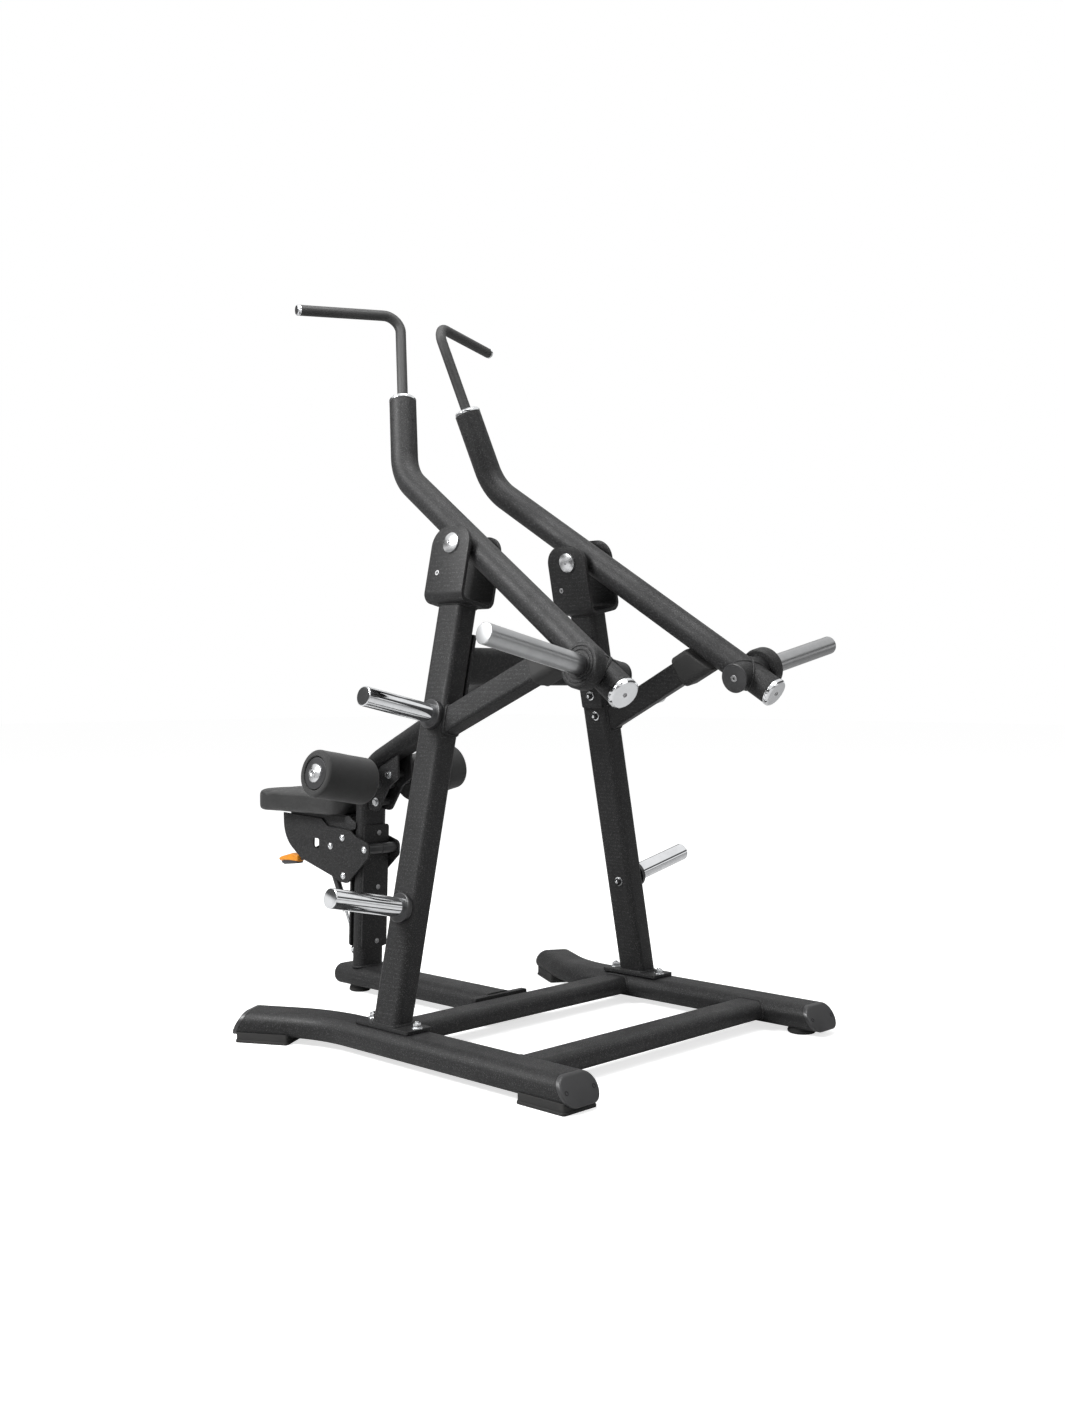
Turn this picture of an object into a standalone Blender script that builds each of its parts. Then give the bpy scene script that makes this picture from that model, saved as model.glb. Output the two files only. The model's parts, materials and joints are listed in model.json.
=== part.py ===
"""Plate-loaded lat pulldown machine: two leaning arms, weight horns and a sliding seat on a steel frame.

Metres, +Z up. X is across the machine (right side at +X), +Y points from the seat to the weight horns.
Each side of the machine lies in one leaning plane. Its pieces are placed in a side frame whose
coordinates are n (outward from the plane), y (as the machine's Y) and u (upward in the plane).
"""

from math import atan2, cos, hypot, pi, radians, sin, tan

import bmesh
import bpy
import numpy as np
from mathutils import Matrix, Vector

GAP = 0.0003                  # between pieces that touch
FIT = 0.0003                  # radial play of turning and sliding pieces

# Base
RAIL_X = 0.482                # centre of each base rail
RAIL_W = 0.120
RAIL_H = 0.066
RAIL_Z = 0.0490               # height of a rail's centre line
RAIL_REAR_Y = 0.6295          # mid-height of the slanted rear end
RAIL_BEND_Y = -0.2527         # where the rail turns outward
RAIL_SPLAY = radians(29.5)
RAIL_BEND_R = 0.40
RAIL_FRONT_LENGTH = 0.240     # beyond the bend's corner
END_SLANT = radians(30)       # rail ends lean back from the vertical
CAP_THICK = 0.012
CROSS_W = 0.100               # flat-oval tube of the cross tubes and the seat post
CROSS_H = 0.050
CROSS_Z = 0.050
MID_CROSS_Y = -0.050
REAR_CROSS_Y = 0.430
CENTRE_TUBE_W = 0.120
CENTRE_TUBE_H = 0.060
CENTRE_TUBE_Z = 0.052
CENTRE_FRONT_Y = -0.765
FLANGE_W = 0.201
FLANGE_TOP = 0.079
FLANGE_BOTTOM = 0.024
FLANGE_T = 0.010
PAD_W = 0.1115
PAD_L = 0.148
PAD_H = 0.027
PAD_END = 0.002               # a pad reaches this far past the rail's mid-height end
ROUND_FOOT_R = 0.038
ROUND_FOOT_Y = 0.565
CENTRE_FOOT_R = 0.032
CENTRE_FOOT_Y = -0.713

# Leaning sides
LEAN = radians(12)
SIDE_OFFSET = 0.4855          # distance of the side plane from the machine's origin
POST_W = 0.066                # across the plane
POST_D = 0.090                # along y
POST_CORNER = 0.016
POST_Y = -0.0055              # post and clevis sit a little in front of the pivot
FOOT_PLATE_X = 0.4765
FOOT_PLATE_W = 0.082
FOOT_PLATE_L = 0.200
FOOT_PLATE_T = 0.010
PIVOT_U = 1.217
CLEVIS_U = PIVOT_U - 0.154    # underside of the clevis
CLEVIS_H = 0.200
CLEVIS_W = 0.120
CLEVIS_D = 0.142
CLEVIS_T = 0.010
CLEVIS_FOOT_R = 0.025
CLEVIS_TOP_R = 0.050
PIVOT_R = 0.0125
PIVOT_HEAD_R = 0.028
PIVOT_HEAD_H = 0.011
STORAGE_US = (0.275, 0.770)   # heights of the lower and upper storage horns
STORAGE_R = 0.025
STORAGE_TIP = 0.267
STORAGE_FLANGE_R = 0.038
STORAGE_FLANGE_T = 0.013
HORN_EDGE = 0.0015            # chamfer at a horn's tip

# Stop arms
STOP_U = PIVOT_U - 0.476      # where the stop arm's axis leaves the post's centre plane
STOP_RISE = radians(25.7)
STOP_W = 0.052
STOP_D = 0.064
STOP_CORNER = 0.008
SLEEVE_W = 0.072
SLEEVE_D = 0.088
SLEEVE_CORNER = 0.018
SLEEVE_START = 0.350          # along the axis from the post's centre plane
STOP_LENGTH = 0.375

# Arms
ARM_R = 0.038
ARM_SLOPE = radians(34.2)
PIVOT_DROP = 0.020            # pivot below the arm's centre line
ARM_REAR = 0.703              # from the pivot to the rear end
ARM_FRONT = 0.382             # from the pivot to the bend's corner
ARM_BEND_R = 0.160
UPPER_LENGTH = 0.2326
UPPER_LEAN = radians(15.6)
BOSS_R = 0.028
BOSS_HALF = 0.0490
HUB_FROM_PIVOT = 0.621
HUB_R = 0.038
HUB_IN = 0.060
HUB_OUT = 0.046
PLATE_STOP_R = 0.056
PLATE_STOP_T = 0.037
HORN_R = 0.025
HORN_TIP = 0.394
ARM_CAP_R = 0.0392
ARM_CAP_T = 0.015
COLLAR_T = 0.012

# Handles
HANDLE_R = 0.015
STEM_LENGTH = 0.283           # from the arm's top to the handle's corner
STEM_DEPTH = 0.060            # stem inside the arm
STEM_BEND_R = 0.045
GRIP_LENGTH = 0.319
GRIP_DROOP = radians(10.4)
GRIP_YAW = radians(19.9)      # turned forward about the stem

# Upper frame
UPPER_CROSS_Z = 0.9845
CROSS_FLANGE_U = (0.795, 0.995)
CROSS_FLANGE_D = 0.076
SEAT_POST_TILT = radians(2)
SEAT_POST_Y = -0.657          # corner of the seat post's bend
SEAT_POST_Z = 0.685
SEAT_POST_BEND_R = 0.140
BEAM_RISE = radians(25.8)
GUIDE_W = 0.097
GUIDE_LOW = -0.544            # along the post from the bend's corner
GUIDE_HIGH = -0.171
REAR_GUIDE_T = 0.005
FRONT_GUIDE_T = 0.008
LATCH_PITCH = 0.025
LATCH_COUNT = 5
LATCH_T = -0.281              # latch height along the post

# Knee rollers
KNEE_Y = -0.588               # where the bent shaft crosses the middle of the machine
KNEE_Z = 0.634
KNEE_TILT = radians(10.2)     # both ends of the shaft rise
KNEE_BEND_R = 0.040
KNEE_SHAFT_R = 0.0125
KNEE_SHAFT_HALF = 0.2695
FOAM_R = 0.0695
FOAM_IN = 0.085
FOAM_OUT = 0.275
FOAM_EDGE = 0.008
FOAM_RECESS_R = 0.050
FOAM_RECESS = 0.008
WASHER_R = 0.047
WASHER_T = 0.005
KNEE_CAP_R = 0.028
BRACKET_X = 0.026
BRACKET_T = 0.008

# Seat carriage, in the seat post's frame: m to the rear, t up along the post, from the bend's corner
PLATE_X = 0.059
PLATE_T = 0.006
CARRIAGE_ROLLER_R = 0.016
REAR_ROLLER_T = -0.241
FRONT_ROLLER_T = -0.331
ROLLER_PIN_R = 0.005
SPACER_M = -0.058
SPACER_T = -0.216
SPACER_R = 0.009
LEVER_M = -0.1144
LEVER_T = -0.2471
LEVER_X = 0.026
LEVER_W = 0.008
LEVER_PIN_R = 0.006
INNER_X = 0.0530
INNER_T = 0.0050
BLOCK_M = (-0.088, -0.062)
LATCH_R = 0.006
LATCH_REST = 0.001            # latch tip stands this far off the guide plate
STRUT_UP = (-0.198, -0.289)
STRUT_LOW = (-0.0484, -0.562)
STRUT_PIN_R = 0.004
STRUT_ROD_R = 0.005
STRUT_TUBE_R = 0.011
STRUT_TUBE_START = 0.125
EYE_R = 0.010
OPEN_EYE_R = 0.0085
OPEN_EYE_OUTER = 0.0125

# Seat cushion
CUSHION_Z = 0.540
CUSHION_T = 0.065
CUSHION_FRONT_Y = -1.105
CUSHION_REAR_Y = -0.706
CUSHION_FRONT_W = 0.266
CUSHION_REAR_W = 0.212
CUSHION_FRONT_R = 0.060
CUSHION_REAR_R = 0.045

REAR_END = RAIL_REAR_Y + tan(END_SLANT) * RAIL_H / 2
CENTRE_SHIFT = -(REAR_END + CUSHION_FRONT_Y) / 2

X, Y, Z = (Vector(axis) for axis in ((1, 0, 0), (0, 1, 0), (0, 0, 1)))


def finish(name, colour, roughness, metallic):
    material = bpy.data.materials.new(name)
    material.use_nodes = True
    shader = material.node_tree.nodes["Principled BSDF"]
    shader.inputs["Base Color"].default_value = (*colour, 1)
    shader.inputs["Roughness"].default_value = roughness
    shader.inputs["Metallic"].default_value = metallic
    return material


# Outlines: closed lists of (a, b) points


def filleted(corners, step=radians(18)):
    """Outline through corners (a, b, radius), each rounded by an arc of its radius."""
    outline = []
    count = len(corners)
    for i, (a, b, radius) in enumerate(corners):
        corner = Vector((a, b))
        before = (Vector(corners[i - 1][:2]) - corner).normalized()
        after = (Vector(corners[(i + 1) % count][:2]) - corner).normalized()
        if radius == 0:
            outline.append((a, b))
            continue
        half = before.angle(after) / 2
        centre = corner + (before + after).normalized() * (radius / sin(half))
        first = corner + before * (radius / tan(half)) - centre
        last = corner + after * (radius / tan(half)) - centre
        start = atan2(first.y, first.x)
        turn = (atan2(last.y, last.x) - start + pi) % (2 * pi) - pi
        steps = max(2, round(abs(turn) / step))
        for k in range(steps + 1):
            angle = start + turn * k / steps
            outline.append((centre.x + radius * cos(angle), centre.y + radius * sin(angle)))
    return outline


def rounded_box(width, height, radius):
    a = width / 2
    b = height / 2
    return filleted([(-a, -b, radius), (a, -b, radius), (a, b, radius), (-a, b, radius)])


def oval(width, height, grow=0.0):
    """Flat oval: a box whose shorter sides are half circles, less a hair so that a flat remains."""
    tall = height + 2 * grow
    return rounded_box(width + 2 * grow, tall, tall / 2 - 0.0005)


def circle(radius, segments=24):
    turns = [2 * pi * k / segments for k in range(segments)]
    return [(radius * cos(turn), radius * sin(turn)) for turn in turns]


# Meshes: rings of points bridged into closed solids


def solid(rings, closed=False):
    """Bridges rings of equal length; the ends are filled unless the rings close on themselves."""
    mesh = bmesh.new()
    loops = [[mesh.verts.new(point) for point in ring] for ring in rings]
    pairs = list(zip(loops, loops[1:])) + ([(loops[-1], loops[0])] if closed else [])
    for low, high in pairs:
        for i, vert in enumerate(low):
            nxt = (i + 1) % len(low)
            mesh.faces.new((vert, low[nxt], high[nxt], high[i]))
    if not closed:
        mesh.faces.new(reversed(loops[0]))
        mesh.faces.new(loops[-1])
    bmesh.ops.recalc_face_normals(mesh, faces=mesh.faces)
    return mesh


def along(outline, origin, first, second, start, end):
    """Prism of an outline in the plane of first and second, between two ends along their normal.

    An end is a distance along the normal, or a plane given as (point, normal)."""
    first = Vector(first)
    second = Vector(second)
    axis = first.cross(second).normalized()
    rings = []
    for stop in (start, end):
        ring = []
        for a, b in outline:
            point = Vector(origin) + first * a + second * b
            if isinstance(stop, tuple):
                point += axis * ((Vector(stop[0]) - point).dot(stop[1]) / axis.dot(stop[1]))
            else:
                point += axis * stop
            ring.append(point)
        rings.append(ring)
    return solid(rings)


def bent(outline, corners, radius, across, start=None, end=None, steps=7):
    """Sweeps an outline along a path with rounded corners; across is square to the path's plane.

    The outline's first coordinate runs along across. start and end are planes (point, normal)."""
    across = Vector(across).normalized()
    corners = [Vector(corner) for corner in corners]
    stations = [(corners[0], (corners[1] - corners[0]).normalized())]
    for before, corner, after in zip(corners, corners[1:], corners[2:]):
        arriving = (corner - before).normalized()
        leaving = (after - corner).normalized()
        turn = arriving.angle(leaving)
        inward = (leaving - arriving).normalized()
        centre = corner + inward * (radius / cos(turn / 2))
        spin = arriving.cross(leaving).normalized()
        arm = corner - arriving * (radius * tan(turn / 2)) - centre
        for k in range(steps + 1):
            turned = Matrix.Rotation(turn * k / steps, 3, spin)
            stations.append((centre + turned @ arm, turned @ arriving))
    stations.append((corners[-1], (corners[-1] - corners[-2]).normalized()))
    rings = []
    for i, (point, heading) in enumerate(stations):
        side = heading.cross(across).normalized()
        ring = [point + across * a + side * b for a, b in outline]
        plane = start if i == 0 else end if i == len(stations) - 1 else None
        if plane:
            point, normal = Vector(plane[0]), Vector(plane[1])
            ring = [p + heading * ((point - p).dot(normal) / heading.dot(normal)) for p in ring]
        rings.append(ring)
    return solid(rings)


def turned(profile, origin, axis, segments=24, closed=False):
    """Solid of revolution of a profile of (radius, distance along the axis)."""
    axis = Vector(axis).normalized()
    first = axis.orthogonal().normalized()
    second = axis.cross(first)
    rings = []
    for radius, distance in profile:
        centre = Vector(origin) + axis * distance
        rings.append([centre + first * a + second * b for a, b in circle(radius, segments)])
    return solid(rings, closed)


def rod(radius, origin, axis, start, end, segments=24, edge=0.0):
    """Cylinder along an axis, with chamfered edges where edge is given."""
    profile = [(radius, start), (radius, end)]
    if edge:
        side = [(radius, start + edge), (radius, end - edge)]
        profile = [(radius - edge, start), *side, (radius - edge, end)]
    return turned(profile, origin, axis, segments)


def tube(inner, outer, origin, axis, start, end, segments=24):
    profile = [(inner, start), (outer, start), (outer, end), (inner, end)]
    return turned(profile, origin, axis, segments, True)


# Objects


def empty(name, parent, location=(0, 0, 0), rotation=(0, 0, 0)):
    holder = bpy.data.objects.new(name, None)
    bpy.context.collection.objects.link(holder)
    holder.parent = parent
    holder.location = location
    holder.rotation_euler = rotation
    return holder


def piece(name, mesh, material, parent):
    data = bpy.data.meshes.new(name)
    mesh.to_mesh(data)
    mesh.free()
    data.shade_smooth()
    data.set_sharp_from_angle(angle=radians(35))
    data.materials.append(material)
    made = bpy.data.objects.new(name, data)
    bpy.context.collection.objects.link(made)
    made.parent = parent
    return made


def shape_with(target, mesh, operation):
    """Joins a mesh to target, cuts it away or keeps what both share; the mesh is in target's frame."""
    tool = piece(f"{target.name}_{operation.lower()}_{len(target.modifiers)}", mesh, PAINT, target.parent)
    tool.hide_render = True
    tool.display_type = "WIRE"
    modifier = target.modifiers.new(operation.title(), "BOOLEAN")
    modifier.operation = operation
    modifier.solver = "EXACT"
    modifier.object = tool


def join(target, mesh):
    shape_with(target, mesh, "UNION")


def cut(target, mesh):
    shape_with(target, mesh, "DIFFERENCE")


def box(low, high):
    low = Vector(low)
    high = Vector(high)
    outline = [(low.x, low.y), (high.x, low.y), (high.x, high.y), (low.x, high.y)]
    return along(outline, (0, 0, 0), X, Y, low.z, high.z)


# Base frame


def rail_line(side):
    """Corners of a rail's centre line, rear end first."""
    splay = Vector((side * sin(RAIL_SPLAY), -cos(RAIL_SPLAY), 0))
    corner = Vector((side * RAIL_X, RAIL_BEND_Y, RAIL_Z))
    return Vector((side * RAIL_X, RAIL_REAR_Y, RAIL_Z)), corner, corner + splay * RAIL_FRONT_LENGTH


def end_plane(point, outward, inset):
    """Slanted end of a rail: longer at the bottom, inset along the rail."""
    normal = outward * cos(END_SLANT) + Z * sin(END_SLANT)
    return point - outward * inset, normal


def rail_section(grow=0.0):
    """A rail's outline with its height along the first coordinate."""
    return [(b, a) for a, b in oval(RAIL_W, RAIL_H, grow)]


def build_rails(side, name, frame):
    rear, corner, front = rail_line(side)
    splay = (front - corner).normalized()
    inset = CAP_THICK / cos(END_SLANT)
    rear_inner = end_plane(rear, Y, inset + GAP)
    front_inner = end_plane(front, splay, inset + GAP)
    mesh = bent(rail_section(), (rear, corner, front), RAIL_BEND_R, Z, rear_inner, front_inner)
    piece(f"{name}_base_rail", mesh, PAINT, frame)
    for where, point, outward in (("rear", rear, Y), ("front", front, splay)):
        across = outward.cross(Z)
        shallow = end_plane(point, outward, inset)
        outer = end_plane(point, outward, 0)
        mesh = along(oval(RAIL_W, RAIL_H), point, -across, Z, shallow, outer)
        piece(f"{name}_{where}_end_cap", mesh, PLASTIC, frame)


def rail_cutter(side, low_y, high_y):
    section = oval(RAIL_W, RAIL_H, GAP)
    return along(section, (side * RAIL_X, 0, RAIL_Z), -X, Z, low_y, high_y)


def cross_tube(y):
    reach = RAIL_X - RAIL_W / 2 + RAIL_H / 2
    return along(oval(CROSS_W, CROSS_H), (0, y, CROSS_Z), Y, Z, -reach, reach)


def build_base(frame):
    mid = piece("mid_cross_tube", cross_tube(MID_CROSS_Y), PAINT, frame)
    mid_front = MID_CROSS_Y - CROSS_W / 2
    low = (-FLANGE_W / 2, mid_front - FLANGE_T + 0.002, FLANGE_BOTTOM)
    high = (FLANGE_W / 2, mid_front + 0.012, FLANGE_TOP)
    join(mid, box(low, high))
    rear = piece("rear_cross_tube", cross_tube(REAR_CROSS_Y), PAINT, frame)
    for side in (1, -1):
        for target, y in ((mid, MID_CROSS_Y), (rear, REAR_CROSS_Y)):
            cut(target, rail_cutter(side, y - CROSS_W, y + CROSS_W))

    flange_y = mid_front - FLANGE_T + 0.002 - GAP
    section = oval(CENTRE_TUBE_W, CENTRE_TUBE_H)
    origin = (0, 0, CENTRE_TUBE_Z)
    mesh = along(section, origin, -X, Z, CENTRE_FRONT_Y, flange_y - FLANGE_T / 2)
    centre = piece("centre_base_tube", mesh, PAINT, frame)
    low = (-FLANGE_W / 2, flange_y - FLANGE_T, FLANGE_BOTTOM)
    join(centre, box(low, (FLANGE_W / 2, flange_y, FLANGE_TOP)))


def pad_mesh(point, outward):
    """Rubber block under a rail's end, reaching PAD_END past the end."""
    across = outward.cross(Z)
    outline = [(-PAD_W / 2, 0), (PAD_W / 2, 0), (PAD_W / 2, PAD_H), (-PAD_W / 2, PAD_H)]
    ground = Vector((point.x, point.y, 0))
    return along(outline, ground, -across, Z, PAD_END - PAD_L, PAD_END)


def build_feet(frame):
    rear, corner, front = rail_line(1)
    left_front = rail_line(-1)[2]
    splay = (front - corner).normalized()
    left_splay = (left_front - rail_line(-1)[1]).normalized()
    rests = (
        ("right_rear_pad", rear, Y), ("right_front_pad", front, splay),
        ("left_front_pad", left_front, left_splay),
    )
    for name, point, outward in rests:
        pad = piece(name, pad_mesh(point, outward), RUBBER, frame)
        section = oval(RAIL_W, RAIL_H, GAP)
        across = -outward.cross(Z)
        cut(pad, along(section, point, across, Z, -2 * PAD_L, PAD_L))

    top = RAIL_Z - RAIL_H / 2 - GAP
    place = (-RAIL_X, ROUND_FOOT_Y, 0)
    piece("left_rear_foot", rod(ROUND_FOOT_R, place, Z, 0, top, edge=0.002), RUBBER, frame)
    top = CENTRE_TUBE_Z - CENTRE_TUBE_H / 2 - GAP
    place = (0, CENTRE_FOOT_Y, 0)
    piece("centre_foot", rod(CENTRE_FOOT_R, place, Z, 0, top, edge=0.002), RUBBER, frame)


# Leaning sides. In a side frame the outward direction is side * X.


def side_frame(side, name, machine):
    location = (side * SIDE_OFFSET * cos(LEAN), 0, SIDE_OFFSET * sin(LEAN))
    return empty(f"{name}_side", machine, location, (0, -side * LEAN, 0))


def level_plane(side, z):
    """Horizontal plane at height z, in a side frame."""
    up = Vector((side * sin(LEAN), 0, cos(LEAN)))
    return Vector((0, 0, (z - SIDE_OFFSET * sin(LEAN)) / cos(LEAN))), up


def build_post(side, name, frame):
    plate_low = RAIL_Z + RAIL_H / 2 + GAP
    foot = level_plane(side, plate_low + FOOT_PLATE_T / 2)
    section = rounded_box(POST_W, POST_D, POST_CORNER)
    mesh = along(section, (0, POST_Y, 0), X, Y, foot, CLEVIS_U - GAP)
    post = piece(f"{name}_post", mesh, PAINT, frame)
    rise = level_plane(side, 0)[1]
    level = Vector((cos(LEAN), 0, -side * sin(LEAN)))
    centre = level * (side * (FOOT_PLATE_X - SIDE_OFFSET * cos(LEAN)))
    centre += rise * (plate_low - SIDE_OFFSET * sin(LEAN)) + Y * POST_Y
    plate = rounded_box(FOOT_PLATE_W, FOOT_PLATE_L, 0.006)
    join(post, along(plate, centre, level, Y, 0, FOOT_PLATE_T))


def build_clevis(side, name, frame):
    a = CLEVIS_W / 2
    b = a - CLEVIS_T
    top = CLEVIS_U + CLEVIS_H
    floor = CLEVIS_U + CLEVIS_T
    inner_r = CLEVIS_FOOT_R - CLEVIS_T
    channel = filleted([
        (-a, top, 0), (-a, CLEVIS_U, CLEVIS_FOOT_R), (a, CLEVIS_U, CLEVIS_FOOT_R), (a, top, 0),
        (b, top, 0), (b, floor, inner_r), (-b, floor, inner_r), (-b, top, 0),
    ])
    middle = (0, POST_Y, 0)
    mesh = along(channel, middle, X, Z, -CLEVIS_D / 2, CLEVIS_D / 2)
    clevis = piece(f"{name}_clevis", mesh, PAINT, frame)
    half = CLEVIS_D / 2
    low = CLEVIS_U - 0.01
    shoulder = CLEVIS_U + 0.1
    cheek = filleted([
        (-half - 0.01, low, 0), (half + 0.01, low, 0), (half + 0.01, shoulder, 0), (half, shoulder, 0),
        (half, top, CLEVIS_TOP_R), (-half, top, CLEVIS_TOP_R), (-half, shoulder, 0),
        (-half - 0.01, shoulder, 0),
    ])
    shape_with(clevis, along(cheek, middle, Y, Z, -a - 0.01, a + 0.01), "INTERSECT")
    cut(clevis, rod(PIVOT_R + GAP, (0, 0, PIVOT_U), X, -CLEVIS_W, CLEVIS_W))

    head = CLEVIS_W / 2 + GAP
    end = head + PIVOT_HEAD_H
    half_profile = [
        (PIVOT_R, head), (PIVOT_HEAD_R, head), (PIVOT_HEAD_R, head + 0.004),
        (PIVOT_HEAD_R - 0.003, head + 0.007),
        (PIVOT_HEAD_R * 0.6, end - 0.001), (0.004, end),
    ]
    profile = [(r, -t) for r, t in reversed(half_profile)] + half_profile
    piece(f"{name}_pivot_shaft", turned(profile, (0, 0, PIVOT_U), X), CHROME, frame)


def build_storage_horns(side, name, frame):
    root = POST_W / 2 + GAP
    profile = [
        (STORAGE_FLANGE_R, root), (STORAGE_FLANGE_R, root + STORAGE_FLANGE_T),
        (STORAGE_R, root + STORAGE_FLANGE_T),
        (STORAGE_R, STORAGE_TIP - HORN_EDGE), (STORAGE_R - HORN_EDGE, STORAGE_TIP),
    ]
    for level, u in zip(("lower", "upper"), STORAGE_US):
        piece(f"{name}_{level}_storage_horn", turned(profile, (0, 0, u), side * X), CHROME, frame)


def arm_direction():
    """Unit vectors along the arm's long part, to the rear, and square to it, upward."""
    back = Vector((0, cos(ARM_SLOPE), -sin(ARM_SLOPE)))
    return back, Vector((0, sin(ARM_SLOPE), cos(ARM_SLOPE)))


def build_stop(side, name, frame):
    """Stop tube from the post's rear face, and the rubber sleeve that the arm rests on."""
    axis = Vector((0, cos(STOP_RISE), sin(STOP_RISE)))
    normal = Vector((0, -sin(STOP_RISE), cos(STOP_RISE)))
    origin = Vector((0, 0, STOP_U))
    post_face = (Vector((0, POST_Y + POST_D / 2 + GAP, 0)), Y)
    back, up = arm_direction()
    pivot = Vector((0, 0, PIVOT_U))
    under_arm = (pivot + up * (PIVOT_DROP - ARM_R - GAP), up)

    mesh = along(rounded_box(STOP_W, STOP_D, STOP_CORNER), origin, -X, normal, post_face, STOP_LENGTH)
    piece(f"{name}_stop_arm", mesh, PAINT, frame)
    outline = rounded_box(SLEEVE_W, SLEEVE_D, SLEEVE_CORNER)
    mesh = along(outline, origin, -X, normal, SLEEVE_START, under_arm)
    sleeve = piece(f"{name}_stop_sleeve", mesh, RUBBER, frame)
    socket = rounded_box(STOP_W + 2 * GAP, STOP_D + 2 * GAP, STOP_CORNER)
    cut(sleeve, along(socket, origin, -X, normal, SLEEVE_START - 0.01, STOP_LENGTH + GAP))


# Arms, in a frame whose origin is on the pivot


def build_arm(side, name, frame):
    back, up = arm_direction()
    foot = up * PIVOT_DROP
    rear = foot + back * ARM_REAR
    bend = foot - back * ARM_FRONT
    stem = Vector((0, -sin(UPPER_LEAN), cos(UPPER_LEAN)))
    top = bend + stem * UPPER_LENGTH
    hub = foot + back * HUB_FROM_PIVOT
    outward = side * X

    arm = piece(f"{name}_arm", bent(circle(ARM_R, 28), (rear, bend, top), ARM_BEND_R, X), PAINT, frame)
    join(arm, rod(HUB_R, hub, outward, -HUB_IN, HUB_OUT, 28))
    join(arm, rod(BOSS_R, (0, 0, 0), X, -BOSS_HALF, BOSS_HALF))
    cut(arm, rod(PIVOT_R + FIT, (0, 0, 0), X, -CLEVIS_W, CLEVIS_W))
    cut(arm, rod(HANDLE_R + FIT, top, stem, -STEM_DEPTH - GAP, 0.02))

    seat = HUB_OUT + GAP
    face = seat + PLATE_STOP_T
    stop_profile = [(HORN_R + GAP, seat), (PLATE_STOP_R, seat), (PLATE_STOP_R, face), (HORN_R + GAP, face)]
    piece(f"{name}_plate_stop", turned(stop_profile, hub, outward, 28, True), PLASTIC, frame)
    piece(f"{name}_weight_horn", rod(HORN_R, hub, outward, seat, HORN_TIP, edge=HORN_EDGE), STEEL, frame)
    cap_edge = ARM_CAP_T - 0.004
    cap_profile = [(ARM_R, GAP), (ARM_CAP_R, GAP), (ARM_CAP_R, cap_edge), (ARM_R - 0.002, ARM_CAP_T)]
    piece(f"{name}_arm_end_cap", turned(cap_profile, rear, back, 28), CHROME, frame)
    bore = HANDLE_R + FIT
    collar_profile = [
        (bore, GAP), (ARM_R, GAP), (ARM_R, COLLAR_T - 0.004), (ARM_R - 0.006, COLLAR_T), (bore, COLLAR_T),
    ]
    piece(f"{name}_arm_collar", turned(collar_profile, top, stem, 28, True), CHROME, frame)
    return top, stem


def build_handle(side, name, frame, top, stem):
    """Bent rod: a stem in the arm's top end and a drooping grip. Its frame's origin is the arm's top."""
    turning = empty(f"{name}_handle_swivel", frame, top)
    rearward = Vector((0, cos(UPPER_LEAN), sin(UPPER_LEAN)))
    sideways = side * X * cos(GRIP_YAW) - rearward * sin(GRIP_YAW)
    grip = sideways * cos(GRIP_DROOP) - stem * sin(GRIP_DROOP)
    corner = stem * STEM_LENGTH
    line = (-stem * STEM_DEPTH, corner, corner + grip * GRIP_LENGTH)
    mesh = bent(circle(HANDLE_R, 16), line, STEM_BEND_R, stem.cross(grip))
    piece(f"{name}_handle", mesh, GRIP, turning)


# Upper frame and seat post


def inner_post_face(side, away):
    """Plane of a post's inner face, moved inward by away, in the machine's frame."""
    normal = Vector((side * cos(LEAN), 0, sin(LEAN)))
    return normal * (SIDE_OFFSET - POST_W / 2 - away), normal


def build_cross_member(frame):
    thickness = 0.010
    ends = [inner_post_face(side, GAP + thickness / 2) for side in (-1, 1)]
    section = [(b, a) for a, b in oval(CROSS_W, CROSS_H)]
    mesh = along(section, (0, 0, UPPER_CROSS_Z), Y, Z, *ends)
    member = piece("upper_cross_member", mesh, PAINT, frame)
    low, high = CROSS_FLANGE_U
    for side in (1, -1):
        point, normal = inner_post_face(side, GAP)
        upward = Vector((-side * sin(LEAN), 0, cos(LEAN)))
        plate = rounded_box(CROSS_FLANGE_D, high - low, 0.006)
        middle = point + upward * (low + high) / 2
        spread = (-Y, Y)[side > 0]
        reach = (0, -thickness) if spread.cross(upward).dot(normal) > 0 else (0, thickness)
        join(member, along(plate, middle, spread, upward, min(reach), max(reach)))


def post_axis():
    """Unit vectors of the seat post: to its rear and up along it."""
    rearward = Vector((0, cos(SEAT_POST_TILT), -sin(SEAT_POST_TILT)))
    return rearward, Vector((0, sin(SEAT_POST_TILT), cos(SEAT_POST_TILT)))


def seat_post_mesh(grow=0.0):
    upward = post_axis()[1]
    corner = Vector((0, SEAT_POST_Y, SEAT_POST_Z))
    foot_z = CENTRE_TUBE_Z + CENTRE_TUBE_H / 2 + GAP
    foot = corner - upward * ((SEAT_POST_Z - foot_z) / upward.z)
    beam = Vector((0, cos(BEAM_RISE), sin(BEAM_RISE)))
    face_y = -CROSS_H / 2 - GAP
    head = corner + beam * ((face_y - SEAT_POST_Y) / beam.y)
    planes = ((foot, Z), (head, Y))
    return bent(oval(CROSS_W, CROSS_H, grow), (foot, corner, head), SEAT_POST_BEND_R, X, *planes, steps=10)


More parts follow.
